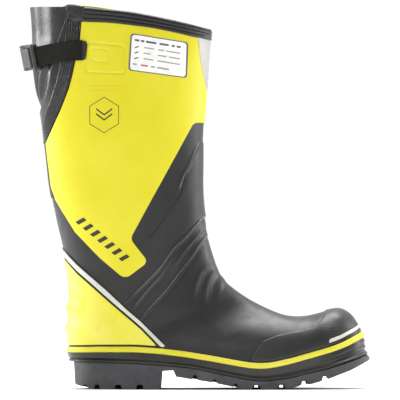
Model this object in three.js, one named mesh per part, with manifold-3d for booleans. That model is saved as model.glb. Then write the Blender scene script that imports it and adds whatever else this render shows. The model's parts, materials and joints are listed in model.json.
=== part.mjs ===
// A fire-fighter's rubber safety boot, for the right foot. Millimetres, +X to the toe, +Z up, -Y the outer side.
// The origin is on the ground, under the centre of the boot's bounding box.
//
// Every layer of the upper (rubber, insulation, lining, overlays) follows one lofted form, moved in or out by its
// own distance. Panels are cut from a layer by their outline in the side view, so they wrap round both sides.
import * as THREE from "three";
import { mergeVertices } from "three/addons/utils/BufferGeometryUtils.js";
import Module from "manifold-3d";

const wasm = await Module();
wasm.setup();

// ---------------------------------------------------------------- driving dimensions
const MIDDLE = 3.7; // x of the bounding box's centre in the drawing below; the finished boot is moved back by it
const FAR = 400; // past the boot on any side
const GAP = 0.3; // between pieces that touch
const COLUMNS = 20; // points round each ring of the form

const RUBBER = 2.5; // wall of the leg and foot shells
const GUSSET = 1.5;
const INSULATION = 1.5;
const LINING = 1.6;
const OVERLAY = 1; // coloured rubber sheets on the shell
const FILM = 0.6; // reflective strips and the label
const PLATE = 1.2; // steel midsole
const TOE_STEEL = 1.5;
const TOE_CAP_BACK = 119; // x of the steel toe cap's rear edge
const LINING_OUT = -RUBBER - INSULATION - 3 * GAP; // the lining's outer face, from the form
const FOOTBED = 5;
const UNDERFOOT = 1.6; // room for the steel midsole under the inner layers
const COLLAR = 2;
const STRIPE_HEIGHT = 5.9; // yellow foxing stripe

// The lofted form: rings from above the rim, down the leg, round the heel and forward to the toe.
// back and front are the ring's ends in the side view as [x, z]; half is its half width, shift its centre's y,
// wide the share of its length, from the back, where it is widest; floor and crown are the superellipse powers
// of its back and front halves, 2 being an ellipse and more a box.
const LEG = { shift: 0, wide: 0.5, floor: 2.1, crown: 2.1 };
const FOOT = { shift: 0, wide: 0.3, floor: 8, crown: 2.1 };
const RINGS = [
  { ...LEG, back: [-162.5, 394.5], front: [20, 366.5], half: 59.5 },
  { ...LEG, back: [-159.5, 358.5], front: [17.5, 332.5], half: 58.5 },
  { ...LEG, back: [-157.5, 312.5], front: [14.5, 290.5], half: 57 },
  { ...LEG, back: [-149, 270.5], front: [12.5, 256.5], half: 55.5 },
  { ...LEG, back: [-145, 238.5], front: [12, 228.5], half: 54 },
  { ...LEG, back: [-141, 203.5], front: [12, 198.5], half: 52 },
  { ...LEG, back: [-135.5, 172.5], front: [13.5, 174.5], half: 50, wide: 0.48 },
  { ...LEG, back: [-129, 145.5], front: [16.5, 153.5], half: 47.5, wide: 0.45 },
  { ...LEG, back: [-124, 120.5], front: [21.5, 134.5], half: 45, wide: 0.42 },
  { ...LEG, back: [-121, 98.5], front: [27.5, 118.5], half: 43.5, wide: 0.38, crown: 2 },
  { ...LEG, back: [-122, 70.5], front: [35, 107.5], half: 42.5, wide: 0.35, crown: 2 },
  { ...LEG, back: [-122.5, 46.5], front: [44, 99], half: 42, wide: 0.33, floor: 2.3, crown: 2 },
  { ...FOOT, back: [-117, 30.5], front: [55, 91.5], half: 41, floor: 2.5, crown: 2 },
  { ...FOOT, back: [-93, 27.4], front: [66, 85], half: 41, floor: 5, crown: 2 },
  { ...FOOT, back: [-56, 26.2], front: [77, 79.5], half: 42, shift: -1, crown: 2 },
  { ...FOOT, back: [-13, 23], front: [89, 75], half: 45, shift: -1.5 },
  { ...FOOT, back: [24, 17], front: [101, 72.5], half: 49, shift: -1 },
  { ...FOOT, back: [54, 11], front: [113, 72.5], half: 51.5 },
  { ...FOOT, back: [79, 9], front: [125, 75], half: 51.5, shift: 1 },
  { ...FOOT, back: [99, 12], front: [137, 78.5], half: 50, shift: 2, crown: 2.2 },
  { ...FOOT, back: [111, 15.5], front: [149, 79.5], half: 48.5, shift: 3, crown: 2.25 },
  { ...FOOT, back: [114, 16.3], front: [159, 74], half: 47.5, shift: 3.5, crown: 2.25 },
  { ...FOOT, back: [116, 17], front: [166, 65], half: 47, shift: 4, wide: 0.26, crown: 2.25 },
  { ...FOOT, back: [117.5, 17.5], front: [170.7, 55.5], half: 47, shift: 4, wide: 0.25, crown: 2.3 },
  { ...FOOT, back: [118.5, 18], front: [173.3, 47], half: 47, shift: 4, wide: 0.25, crown: 2.3 },
  { ...FOOT, back: [119.5, 18.5], front: [174, 34], half: 47, shift: 4, wide: 0.25, crown: 2.3 },
];
const FIRST_SOLE_RING = 12; // from here on a ring's back lies on the sole

// Lines of the side view, each a list of [x, z].
const RIM = [
  [-162, 381], [-124, 380.5], [-123, 383], [-106, 380], [-81, 377.5], [-61, 375.5], [-41, 372], [-21, 368],
  [-1, 363.5], [19, 358.5],
];
const COLLAR_FOOT = [
  [-125, 368], [-109, 365.5], [-81, 364.5], [-61, 362.2], [-41, 359.5], [-21, 356], [-1, 351.5], [21, 347],
];
const GUSSET_EDGE = [[-124, 380.5], [-132.2, 347], [-139.5, 315.5], [-142, 300.5], [-150, 276], [-160, 256]];
const STRIPE_TOP = [
  [-119, 42], [-91, 42.7], [-56, 42.7], [-31, 41], [-7, 38.1], [19, 34], [48, 28.7], [59, 27], [71, 26.4],
  [81, 27.3], [99, 31.3], [121, 37.5], [139, 42.6], [153, 47.7], [165.5, 54.1], [185, 64],
];
const SOLE_TOP = [
  [-120, 27.4], [-91, 26.6], [-61, 25.5], [-30, 23.5], [0, 21], [19, 17], [32, 14.4], [48, 11], [62, 8.6],
  [76, 8.2], [99, 11], [114, 15], [134, 19.4], [153, 25.2], [172, 32.2], [190, 40.5],
];
// The underside of the lugs, under the heel and under the front.
const HEEL_TREAD = [[-117, 27.5], [-115.6, 4.9], [-108, 2.6], [-97, 0.6], [-88, 0], [-29.8, 0]];
const FRONT_TREAD = [
  [-14.8, 12.8], [0, 10.4], [21, 7.2], [38, 3.6], [49, 0.8], [58, 0], [86, 0], [97, 1.3], [109, 3.5], [120, 5.5],
  [131, 8.6], [137.5, 10.8], [159, 19], [177.7, 28.5], [179.2, 30.5],
];
const TREAD = [...HEEL_TREAD, [-28.3, 18.5], [-17.5, 19], ...FRONT_TREAD];

// ---------------------------------------------------------------- solids
function signedVolume(position, index) {
  const [a, b, c] = [new THREE.Vector3(), new THREE.Vector3(), new THREE.Vector3()];
  let sum = 0;
  for (let i = 0; i < index.count; i += 3) {
    a.fromBufferAttribute(position, index.getX(i));
    b.fromBufferAttribute(position, index.getX(i + 1));
    c.fromBufferAttribute(position, index.getX(i + 2));
    sum += a.dot(b.cross(c));
  }
  return sum / 6;
}

function solid(geometry) {
  const bare = geometry.clone();
  bare.deleteAttribute("normal");
  bare.deleteAttribute("uv");
  const merged = mergeVertices(bare, 1e-4);
  const corners = new Uint32Array(merged.index.array);
  if (signedVolume(merged.attributes.position, merged.index) < 0) corners.reverse();
  return new wasm.Manifold(new wasm.Mesh({
    numProp: 3,
    vertProperties: merged.attributes.position.array,
    triVerts: corners,
  }));
}

function geometryOf(made) {
  const mesh = made.getMesh();
  const geometry = new THREE.BufferGeometry();
  geometry.setAttribute("position", new THREE.BufferAttribute(mesh.vertProperties, 3));
  geometry.setIndex(new THREE.BufferAttribute(mesh.triVerts, 1));
  return geometry;
}

const union = (solids) => solids.reduce((all, next) => all.add(next));
const vectors = (outline) => outline.map(([x, y]) => new THREE.Vector2(x, y));

// An outline of the side view, drawn across the boot from y = from to y = to.
function across(outline, from = -FAR, to = FAR) {
  const shape = new THREE.Shape(vectors(outline));
  const geometry = new THREE.ExtrudeGeometry(shape, { depth: to - from, bevelEnabled: false });
  return solid(geometry.rotateX(Math.PI / 2).translate(0, to, 0));
}

// A plan outline, from z = low to z = high.
function upright(outline, low, high) {
  const shape = new THREE.Shape(vectors(outline));
  const geometry = new THREE.ExtrudeGeometry(shape, { depth: high - low, bevelEnabled: false });
  return solid(geometry.translate(0, 0, low));
}

const block = (size, centre) => solid(new THREE.BoxGeometry(...size).translate(...centre));

// Lines of the side view run on level beyond their ends.
const raised = (line, by) => line.map(([x, z]) => [x, z + by]);
const level = (line) => [[-FAR, line[0][1]], ...line, [FAR, line.at(-1)[1]]];
const below = (line, by = 0) => across([...level(raised(line, by)), [FAR, -FAR], [-FAR, -FAR]]);
const above = (line, by = 0) => across([...level(raised(line, by)), [FAR, 2 * FAR], [-FAR, 2 * FAR]]);

function heightAt(line, x) {
  const points = level(line);
  const next = points.findIndex(([px]) => px >= x);
  const [x0, z0] = points[next - 1];
  const [x1, z1] = points[next];
  return z0 + ((z1 - z0) * (x - x0)) / (x1 - x0);
}

// A closed outline whose corners [x, z, radius] are rounded by arcs.
function rounded(corners, step = Math.PI / 8) {
  const at = vectors(corners);
  return corners.flatMap(([x, z, radius = 0], i) => {
    if (!radius) return [[x, z]];
    const here = at[i];
    const before = at.at(i - 1).clone().sub(here).normalize();
    const after = at[(i + 1) % at.length].clone().sub(here).normalize();
    const half = Math.acos(THREE.MathUtils.clamp(before.dot(after), -1, 1)) / 2;
    const centre = before.clone().add(after).setLength(radius / Math.sin(half)).add(here);
    const start = before.setLength(radius / Math.tan(half)).add(here).sub(centre);
    const end = after.setLength(radius / Math.tan(half)).add(here).sub(centre);
    const turn = Math.atan2(start.cross(end), start.dot(end));
    const steps = Math.max(1, Math.ceil(Math.abs(turn) / step));
    return Array.from({ length: steps + 1 }, (_, k) => {
      const spoke = start.clone().rotateAround(new THREE.Vector2(), (turn * k) / steps);
      return [centre.x + spoke.x, centre.y + spoke.y];
    });
  });
}

// ---------------------------------------------------------------- the lofted form
// The ends and widest place of ring i in the side view, moved out by offset, with the sole raised by lift.
function ringEnds(i, offset, lift = 0) {
  const [back, front] = ["back", "front"].map((end) => {
    const before = RINGS[Math.max(0, i - 1)][end];
    const after = RINGS[Math.min(RINGS.length - 1, i + 1)][end];
    const side = end === "front" ? 1 : -1;
    const normal = new THREE.Vector2(before[1] - after[1], after[0] - before[0]).normalize();
    return normal.multiplyScalar(side * offset).add(new THREE.Vector2(...RINGS[i][end]));
  });
  const isLast = i === RINGS.length - 1;
  if (isLast && offset < 0) front.y += lift - offset;
  const middle = back.clone().lerp(front, RINGS[i].wide);
  if (isLast) middle.y += lift * (1 - RINGS[i].wide);
  if (i >= FIRST_SOLE_RING) back.y += lift;
  return { back, middle, front };
}

function ring(i, offset, lift) {
  const r = RINGS[i];
  const { back, middle, front } = ringEnds(i, offset, lift);
  return Array.from({ length: COLUMNS }, (_, k) => {
    const angle = (2 * Math.PI * k) / COLUMNS;
    const [c, s] = [Math.cos(angle), Math.sin(angle)];
    const power = 2 / (c > 0 ? r.crown : r.floor);
    const point = middle.clone().lerp(c > 0 ? front : back, Math.abs(c) ** power);
    return new THREE.Vector3(point.x, r.shift + (r.half + offset) * Math.sign(s) * Math.abs(s) ** power, point.y);
  });
}

// A closed surface through rings of points, with a fan of triangles over each end.
function skin(rings) {
  const columns = rings[0].length;
  const centreOf = (points) => points.reduce((sum, p) => sum.add(p), new THREE.Vector3()).divideScalar(columns);
  const points = [...rings.flat(), centreOf(rings[0]), centreOf(rings.at(-1))];
  const last = (rings.length - 1) * columns;
  const index = [];
  for (let k = 0; k < columns; k++) {
    const next = (k + 1) % columns;
    for (let row = 0; row < last; row += columns) {
      index.push(row + k, row + next, row + columns + k, row + next, row + columns + next, row + columns + k);
    }
    index.push(last + columns, next, k, last + columns + 1, last + k, last + next);
  }
  const geometry = new THREE.BufferGeometry().setFromPoints(points);
  geometry.setIndex(index);
  return geometry;
}

const formSkin = (offset, lift) => skin(RINGS.map((_, i) => ring(i, offset, lift)));
const forms = new Map();
function form(offset, lift = 0) {
  const key = `${offset} ${lift}`;
  if (!forms.has(key)) forms.set(key, solid(formSkin(offset, lift)));
  return forms.get(key);
}

// Everything between two distances from the form, open at the rim.
const layer = (inner, outer, lift = 0) => form(outer, lift).subtract(form(inner, lift)).intersect(below(RIM));

// ---------------------------------------------------------------- points on the form, found by rays
const caster = new THREE.Raycaster();
const formMesh = new THREE.Mesh(formSkin(0, 0), new THREE.MeshBasicMaterial({ side: THREE.DoubleSide }));

function outermost(from, direction) {
  caster.set(from, direction);
  return caster.intersectObject(formMesh).at(-1).point;
}

// The plan outline of the form along a line of the side view: rays straight out along the foot, and fans of rays
// at the heel and the toe.
const HEEL_CENTRE = [-78, 0];
const TOE_CENTRE = [124, 4];
const SIDE_STEPS = 11;
const FAN_STEPS = 12;
function outlineAt(line, rise) {
  const right = Math.PI / 2;
  const spokes = [];
  const between = (t) => HEEL_CENTRE.map((v, k) => v + (TOE_CENTRE[k] - v) * t);
  for (let k = 0; k < SIDE_STEPS; k++) spokes.push([between(k / SIDE_STEPS), -right]);
  for (let k = 0; k < FAN_STEPS; k++) spokes.push([TOE_CENTRE, -right + (Math.PI * k) / FAN_STEPS]);
  for (let k = 0; k < SIDE_STEPS; k++) spokes.push([between(1 - k / SIDE_STEPS), right]);
  for (let k = 0; k < FAN_STEPS; k++) spokes.push([HEEL_CENTRE, right + (Math.PI * k) / FAN_STEPS]);
  return spokes.map(([[x, y], angle]) => {
    const out = new THREE.Vector3(Math.cos(angle), Math.sin(angle), 0);
    let point = new THREE.Vector3(x, y, 0).addScaledVector(out, 45);
    for (let pass = 0; pass < 5; pass++) {
      point = outermost(new THREE.Vector3(x, y, heightAt(line, point.x) + rise), out);
    }
    return { x: point.x, y: point.y, out };
  });
}

// An outline grown outward by a distance that may depend on x.
const grown = (outline, by) => outline.map(({ x, y, out }) => [x + out.x * by(x), y + out.y * by(x)]);
const ramp = (x, x0, x1, v0, v1) => THREE.MathUtils.lerp(v0, v1, THREE.MathUtils.smoothstep(x, x0, x1));

// ---------------------------------------------------------------- outlines of the panels, in the side view
const YELLOW_LEG = rounded([
  ...raised(COLLAR_FOOT, -GAP).slice(1), [60, 345], [60, 265.5], [2.5, 265, 6], [-59.8, 150, 7], [-42, 127, 6],
  [-65.5, 109, 9], [-90, 129.8], [-115.5, 156.5], [-134.6, 188.5], [-139.4, 202, 10], [-142, 224], [-144.5, 245.5, 3],
  [-135, 266.5], [-129, 279.5], [-121.4, 299.5], [-117.8, 312.7], [-110.5, 347.8],
]);
const GUSSET_BINDING = [
  [-145.7, 244], [-135.9, 266.9], [-129.9, 280], [-122.3, 299.8], [-118.7, 312.9], [-111.4, 347.9], [-109.9, 366],
  [-123.2, 369], ...GUSSET_EDGE.slice(1), [-170, 244],
];
const BACK_STAY = [[-170, 190], [-136.6, 190], [-140.4, 202.5], [-142.9, 224.3], [-145.2, 243.4], [-170, 243.4]];
const STRIPE_UPPER = [
  [-170, 139.5], [-128, 139.5], [-121, 131.8], [-113, 123.6], [-99, 111.4], [-85, 99.4], [-64, 79.4], [-50, 67.4],
  [-25, 42.4],
];
const STRIPE_LOWER = [
  [-170, 135], [-128.4, 135], [-120.5, 126], [-113.5, 118.2], [-99, 105.6], [-77.5, 86.3], [-63.5, 74.3],
  [-49.5, 62.3], [-30, 42],
];
const between = (upper, lower) => [...upper, ...lower.toReversed()];
const HEEL_STRIPE = between(STRIPE_UPPER, STRIPE_LOWER);
const HEEL_STRIPE_BACKING = between(raised(STRIPE_UPPER, 1.8), raised(STRIPE_LOWER, -2));
const HEEL_PATCH = [...raised(STRIPE_LOWER, -2.5), [-32, 20], [-170, 20]];
const FRONT_REFLECTOR = [[5.7, 348.7], [8, 330.5], [11, 314], [14.5, 299], [60, 297], [60, 344], [18.5, 346]];
const BUMPER = [
  [58.7, 0], [59.5, 33.7], [70, 47.7], [85.5, 54.1], [109, 58.5], [123.8, 61.8], [131, 70.5], [134, 77.5],
  [135.5, 110], [220, 110], [220, 0],
];
const TOE_STRIP = [
  [137.5, 49.8], [149, 54], [161, 60], [168, 64.6], [185, 76], [185, 71.5], [170.5, 62.3], [161, 56.4], [149, 50.3],
  [136.7, 46],
];
const SHIN_GUARD = rounded([
  [60, 247], [10.5, 246.5, 8], [-4, 219.5], [-11, 193.5], [-23, 176.5], [-33, 161.5], [-42, 150.5, 5],
  [-37, 134.5, 8], [-4, 158], [9, 170], [60, 176],
]);
const LABEL = rounded([[-59.9, 354.1, 3], [-3.5, 345.4, 3], [-5.1, 309.7, 3], [-62.3, 317.2, 3]]);
const ANCHOR_PATCH = rounded([[-111.5, 347, 1.5], [-102.4, 346.2, 1.5], [-104.4, 327.4, 1.5], [-113.5, 327.6, 1.5]]);
// Where the foot shell ends and the leg shell begins: from the heel, down under the stripe, up to the ankle.
const FOOT_SEAM = [[-128, 134], [-52, 70.5], [-36, 86.5], [-11, 115], [6, 140.5], [17, 154]];

const openBack = across([...GUSSET_EDGE, [-FAR, 256], [-FAR, FAR], [-124, FAR]]);
const aboveStripe = above(STRIPE_TOP, GAP);
const outerHalf = block([2 * FAR, FAR, 2 * FAR], [0, -FAR / 2 - 10, FAR / 2]);
const innerHalf = block([2 * FAR, FAR, 2 * FAR], [0, FAR / 2 + 10, FAR / 2]);
const SECOND = OVERLAY + 2 * GAP; // where a piece on top of an overlay starts
const overlay = (outline, inner, thick) =>
  layer(inner, inner + thick).intersect(across(outline)).intersect(aboveStripe);

// ---------------------------------------------------------------- leg and foot
const legShell = () => layer(-RUBBER, 0).intersect(above(FOOT_SEAM, GAP)).subtract(openBack);
const footShell = () => layer(-RUBBER, 0).intersect(below(FOOT_SEAM));

function gusset() {
  const inside = GUSSET_EDGE.map(([x, z]) => [x - 0.6, z]);
  return layer(-GUSSET, 0).intersect(across([...inside, [-FAR, 256.5], [-FAR, FAR], [-124.6, FAR]]));
}

function insulation() {
  const wall = layer(-RUBBER - GAP - INSULATION, -RUBBER - GAP, UNDERFOOT);
  const toe = across([[TOE_CAP_BACK - 0.5, -FAR], [FAR, -FAR], [FAR, FAR], [TOE_CAP_BACK - 0.5, FAR]]);
  return wall.subtract(openBack).subtract(toe).intersect(below(RIM, -4));
}

const lining = () =>
  layer(LINING_OUT - LINING, LINING_OUT, UNDERFOOT + GAP).subtract(openBack).intersect(below(RIM, -2));

function toeCap() {
  const outer = -RUBBER - GAP;
  const front = across([[TOE_CAP_BACK, -FAR], [FAR, -FAR], [FAR, FAR], [TOE_CAP_BACK + 12, FAR]]);
  const opening = upright(grown(soleOutline, () => -16), -10, 38);
  const wall = form(outer, UNDERFOOT).subtract(form(outer - TOE_STEEL, UNDERFOOT)).intersect(front);
  return wall.subtract(opening).subtract(form(LINING_OUT + GAP / 2, UNDERFOOT + GAP));
}

// The line of the form's underside, moved out by offset (in, if negative) and raised by lift.
function underside(offset, lift) {
  const last = RINGS.length - 1;
  const backs = RINGS.slice(FIRST_SOLE_RING).map((_, i) => ringEnds(FIRST_SOLE_RING + i, offset, lift).back);
  return [...backs, ringEnds(last, offset, lift).front].map(({ x, y }) => [x, y]);
}

function steelMidsole() {
  const ends = across([[-108, -FAR], [160, -FAR], [160, FAR], [-108, FAR]]);
  return form(-RUBBER - GAP).intersect(below(underside(-RUBBER - GAP - PLATE))).intersect(ends);
}

function footbed() {
  const inside = LINING_OUT - LINING - 2 * GAP;
  const lift = UNDERFOOT + 2 * GAP;
  return form(inside, lift).intersect(below(underside(inside - FOOTBED, lift)));
}

// ---------------------------------------------------------------- sole
const soleOutline = outlineAt(SOLE_TOP, 5);
const stripeOutline = outlineAt(STRIPE_TOP, -STRIPE_HEIGHT / 2);

// Grooves across the lugs at each side: [x, half width of the mouth, depth].
const SIDE_GROOVES = [
  [-105.5, 2.2, 2.4], [-93.5, 3, 4.4], [-72.5, 4, 4.6], [-51, 4, 4.8], [4, 3, 4.6], [23.5, 2.6, 3.4], [44.5, 2.6, 3.8],
  [65, 5, 4.3], [90, 4.6, 4.5], [112.5, 4.6, 4.2], [133.5, 3.2, 3.6],
];
const MIDDLE_GROOVES = [-83, -62, 14, 34, 65, 90, 112.5, 133.5]; // across the lugs of the middle row
const CHANNEL = [15, 18.5]; // distances from the centre line of the channels along the sole
const CHANNEL_DEPTH = 3.4;

function groove(x, half, depth, from, to) {
  const z = heightAt(TREAD, x);
  const mouth = [[x - half, z], [x - half, z - 6], [x + half, z - 6], [x + half, z]];
  return across([...mouth, [x + half * 0.6, z + depth], [x - half * 0.6, z + depth]], from, to);
}

// A channel along part of the tread, at one side of the middle.
function channel(line, side) {
  const edges = CHANNEL.map((y) => y * side).sort((a, b) => a - b);
  return across([...raised(line, CHANNEL_DEPTH), [line.at(-1)[0], -60], [line[0][0], -60]], ...edges);
}

function outsole() {
  const proud = (x) => ramp(x, -100, 0, 0.3, 3.2) + ramp(x, 120, 175, 0, 1.9);
  const plan = upright(grown(soleOutline, proud), -20, 60);
  const profile = across([[-117, 60], ...TREAD, [179.2, 60]]).intersect(below(SOLE_TOP, -GAP));
  const sideGrooves = SIDE_GROOVES.flatMap(([x, half, depth]) => [
    groove(x, half, depth, -FAR, -CHANNEL[0]),
    groove(x, half, depth, CHANNEL[0], FAR),
  ]);
  const middleGrooves = MIDDLE_GROOVES.map((x) => groove(x, 2.4, CHANNEL_DEPTH, -CHANNEL[1], CHANNEL[1]));
  const channels = [HEEL_TREAD.slice(2), FRONT_TREAD.slice(1, 12)].flatMap((line) => [channel(line, -1), channel(line, 1)]);
  return plan.intersect(profile).subtract(union([...sideGrooves, ...middleGrooves, ...channels]));
}

// A band round the foot, from just above the line foot up to the line top.
function foxing(outline, proud, top, foot) {
  const inside = upright(grown(outline, () => -8), -20, 90);
  const plan = upright(grown(outline, proud), -20, 90).subtract(inside);
  return plan.intersect(below(top)).intersect(above(foot, GAP)).subtract(form(GAP));
}

const stripeFoot = raised(STRIPE_TOP, -STRIPE_HEIGHT);
const bandProud = (x) => ramp(x, -120, -60, 2.6, 2.4) + ramp(x, 120, 170, 0, -0.8);
const foxingBand = () => foxing(soleOutline, bandProud, stripeFoot, SOLE_TOP);
const stripeProud = (x) => ramp(x, -120, -60, 2.8, 2.4) + ramp(x, 120, 170, 0, -0.8);
const foxingStripe = () => foxing(stripeOutline, stripeProud, STRIPE_TOP, stripeFoot);

// ---------------------------------------------------------------- heel, collar and trims
const KICK_RIBS = [[57, 66, 2.6], [78, 87, 2.4]]; // ribs round the heel: low and high edge, and how far out

function heelPatch() {
  const ribs = KICK_RIBS.map(([low, high, proud]) => {
    const outline = [[-170, low], [-99, low], [-93, (low + high) / 2], [-99, high], [-170, high]];
    return layer(GAP, proud).intersect(across(outline));
  });
  return union([overlay(HEEL_PATCH, GAP, OVERLAY), ...ribs]);
}

const collarBand = () => layer(GAP, COLLAR).intersect(above(COLLAR_FOOT)).subtract(openBack);

const gussetBinding = () => overlay(GUSSET_BINDING, GAP, OVERLAY).intersect(below(COLLAR_FOOT, -GAP));

// ---------------------------------------------------------------- strap and buckle
const STRAP_WIDTH = 20;
const STRAP = 1.6;
const STRAP_LINE = [[-163, 329.4], [-149, 331.5], [-133, 335], [-116, 336.9], [-100.5, 337.4]]; // its middle
const LEG_AXIS = -72; // x of the leg's axis at the strap
const BUCKLE_TURN = 13; // degrees round the leg from straight back to the outer side
const BUCKLE_OFF = 6.6; // from the form to the middle of the strap inside the buckle
const LEAN = 12; // degrees by which the buckle's top leans out
const BEND = 50; // radius of the strap through the buckle
const INNER_RISE = 4.5; // the strap climbs from the buckle, so it sits higher on the inner side
const SNUG = 2.9; // from the form to the middle of a strap that lies on the leg
const FRAME = { half: 12.2, tall: 25, wall: 2, floor: 1.5 };
const UNDER = -STRAP - 2 * GAP - FRAME.floor; // from the tail to the inner strap, with the buckle's floor between
const PIN = { x: -6.5, z: 3.6, radius: 1.2 };
const RUNNING = 0.05; // clearance of the pin in its holes
const CAM = 2.9;
const UP = new THREE.Vector3(0, 0, 1);

// The strap lying on the leg, some degrees round it from straight back to the outer side.
function strapRow(degrees, off = SNUG, rise = 0) {
  const around = (turn, z) => {
    const angle = THREE.MathUtils.degToRad(degrees + turn);
    return outermost(new THREE.Vector3(LEG_AXIS, 0, z), new THREE.Vector3(-Math.cos(angle), -Math.sin(angle), 0));
  };
  let at = around(0, STRAP_LINE[0][1]);
  for (let pass = 0; pass < 3; pass++) at = around(0, heightAt(STRAP_LINE, at.x) + rise);
  const out = around(9, at.z).sub(around(-9, at.z)).cross(UP).normalize();
  return { at: at.addScaledVector(out, off), out, up: UP };
}

// The buckle's own frame: x along the strap to the outer side, y up the strap's width, z out from the leg.
const buckle = new THREE.Group();
const seat = strapRow(BUCKLE_TURN, BUCKLE_OFF);
const backing = new THREE.Matrix4().makeBasis(new THREE.Vector3().crossVectors(UP, seat.out), UP, seat.out);
buckle.quaternion.setFromRotationMatrix(backing);
buckle.rotateX(THREE.MathUtils.degToRad(LEAN));
buckle.position.copy(seat.at);
buckle.updateMatrix();

// The strap on its bend through the buckle, some degrees from the buckle's middle to the outer side.
function bentRow(degrees, off = 0) {
  const angle = THREE.MathUtils.degToRad(degrees);
  const out = new THREE.Vector3(Math.sin(angle), 0, Math.cos(angle));
  const at = out.clone().multiplyScalar(BEND + off).add(new THREE.Vector3(0, 0, -BEND)).applyMatrix4(buckle.matrix);
  const up = new THREE.Vector3(0, 1, 0).transformDirection(buckle.matrix);
  return { at, out: out.transformDirection(buckle.matrix), up };
}

function ribbon(rows) {
  const corners = [[-1, -1], [1, -1], [1, 1], [-1, 1]];
  const rings = rows.map(({ at, out, up }) => corners.map(([u, v]) =>
    at.clone().addScaledVector(up, (u * STRAP_WIDTH) / 2).addScaledVector(out, (v * STRAP) / 2)));
  return solid(skin(rings));
}

const range = (from, to, step) => Array.from({ length: Math.round((to - from) / step) + 1 }, (_, k) => from + k * step);
const outerStrap = () => ribbon([
  ...range(50, 34, -4).map((a) => strapRow(a)), strapRow(30, 3.6), ...range(18, 8, -5).map((a) => bentRow(a)),
]);
const innerStrap = () => ribbon([
  ...range(-50, -38, 4).map((a) => strapRow(a, SNUG, INNER_RISE)), strapRow(-34, 3.8, INNER_RISE),
  ...range(-73, -3, 7).map((a) => bentRow(a, UNDER)),
]);
const strapTail = () => ribbon([7.4, ...range(0, -63, -7)].map((a) => bentRow(a)));

// A profile in the buckle's x and z, drawn across its width.
function sideways(shape, width, y = 0) {
  const geometry = new THREE.ExtrudeGeometry(shape, { depth: width, bevelEnabled: false, curveSegments: 6 });
  return solid(geometry.rotateX(Math.PI / 2).translate(0, y + width / 2, 0));
}

const alongPin = (radius, length) =>
  solid(new THREE.CylinderGeometry(radius, radius, length, 24).translate(PIN.x, 0, PIN.z));

// An arc of the buckle's curved floor, at a height over the middle of the strap.
function floorArc(shape, height, clockwise) {
  const half = Math.asin(FRAME.half / BEND);
  const [from, to] = [Math.PI / 2 - half, Math.PI / 2 + half];
  return shape.absarc(0, -BEND, BEND + height, clockwise ? to : from, clockwise ? from : to, clockwise);
}

function buckleFrame() {
  const floorTop = -STRAP / 2 - GAP;
  const floor = floorArc(floorArc(new THREE.Shape(), floorTop - FRAME.floor, false), floorTop, true);
  const wall = floorArc(new THREE.Shape(), floorTop - FRAME.floor, false);
  for (const [x, z] of [[-FRAME.half, 2], [-9.2, 5.8], [-4.5, 6.1], [1, 4.2], [FRAME.half, 3.2]]) wall.lineTo(x, z);
  const wallAt = (FRAME.tall - FRAME.wall) / 2;
  const bridge = block([2.8, FRAME.tall - 1, 3.3], [FRAME.half - 1.5, 0, 1.7]);
  const pieces = [sideways(floor, FRAME.tall), sideways(wall, FRAME.wall, -wallAt), sideways(wall, FRAME.wall, wallAt), bridge];
  return union(pieces).subtract(alongPin(PIN.radius + RUNNING, 60));
}

const bucklePin = () => alongPin(PIN.radius, FRAME.tall + 1);

// The lever, shut: its cam over the strap and its plate between the buckle's walls.
function buckleLever() {
  const profile = new THREE.Shape().absarc(PIN.x, PIN.z, CAM, Math.PI / 2, (Math.PI * 3) / 2);
  for (const [x, z] of [[-4.2, 1.3], [-2.5, 2.7], [8.2, 3.1], [8.8, 4], [8.2, 5.2], [-3, 6.2]]) profile.lineTo(x, z);
  return sideways(profile, FRAME.tall - 2 * FRAME.wall - 1).subtract(alongPin(PIN.radius + RUNNING, 60));
}

// ---------------------------------------------------------------- the boot
const paint = (color, roughness, metalness = 0) => ({ color, roughness, metalness });
const BLACK_RUBBER = paint(0x2e2e2d, 0.55);
const YELLOW_RUBBER = paint(0xf0e528, 0.5);
const GREY_RUBBER = paint(0x4c4c51, 0.65);
const SILVER = paint(0xc9c9c6, 0.4);
const WEBBING = paint(0x1b1b1b, 0.9);
const PLASTIC = paint(0x4a4a48, 0.5);
const STEEL = paint(0x9a9c9e, 0.35, 1);
const LABEL_SKIN = paint(0xf4f4f2, 0.5);
const FELT = paint(0x77736a, 0.95);
const FABRIC = paint(0x35363a, 0.95);
const FOAM = paint(0x3f4a55, 0.9);

const boot = new THREE.Group();
function part(name, made, material, parent = boot) {
  const mesh = new THREE.Mesh(geometryOf(made), new THREE.MeshStandardMaterial(material));
  mesh.name = name;
  parent.add(mesh);
}

part("leg_shell", legShell(), BLACK_RUBBER);
part("foot_shell", footShell(), BLACK_RUBBER);
part("gusset", gusset(), BLACK_RUBBER);
part("insulation", insulation(), FELT);
part("lining", lining(), FABRIC);
part("toe_cap", toeCap(), STEEL);
part("steel_midsole", steelMidsole(), STEEL);
part("footbed", footbed(), FOAM);
part("outsole", outsole(), GREY_RUBBER);
part("foxing_band", foxingBand(), BLACK_RUBBER);
part("foxing_stripe", foxingStripe(), YELLOW_RUBBER);
part("leg_panel", overlay(YELLOW_LEG, GAP, OVERLAY), YELLOW_RUBBER);
part("heel_patch", heelPatch(), YELLOW_RUBBER);
part("heel_stripe_backing", overlay(HEEL_STRIPE_BACKING, GAP, OVERLAY), BLACK_RUBBER);
part("heel_stripe", overlay(HEEL_STRIPE, SECOND, FILM), SILVER);
part("shin_guard", overlay(SHIN_GUARD, GAP, OVERLAY), BLACK_RUBBER);
part("toe_bumper", overlay(BUMPER, GAP, OVERLAY), BLACK_RUBBER);
part("toe_stripe", overlay(TOE_STRIP, SECOND, FILM), SILVER);
part("front_reflector", overlay(FRONT_REFLECTOR, SECOND, FILM), SILVER);
part("label", overlay(LABEL, SECOND, FILM).intersect(outerHalf), LABEL_SKIN);
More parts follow.
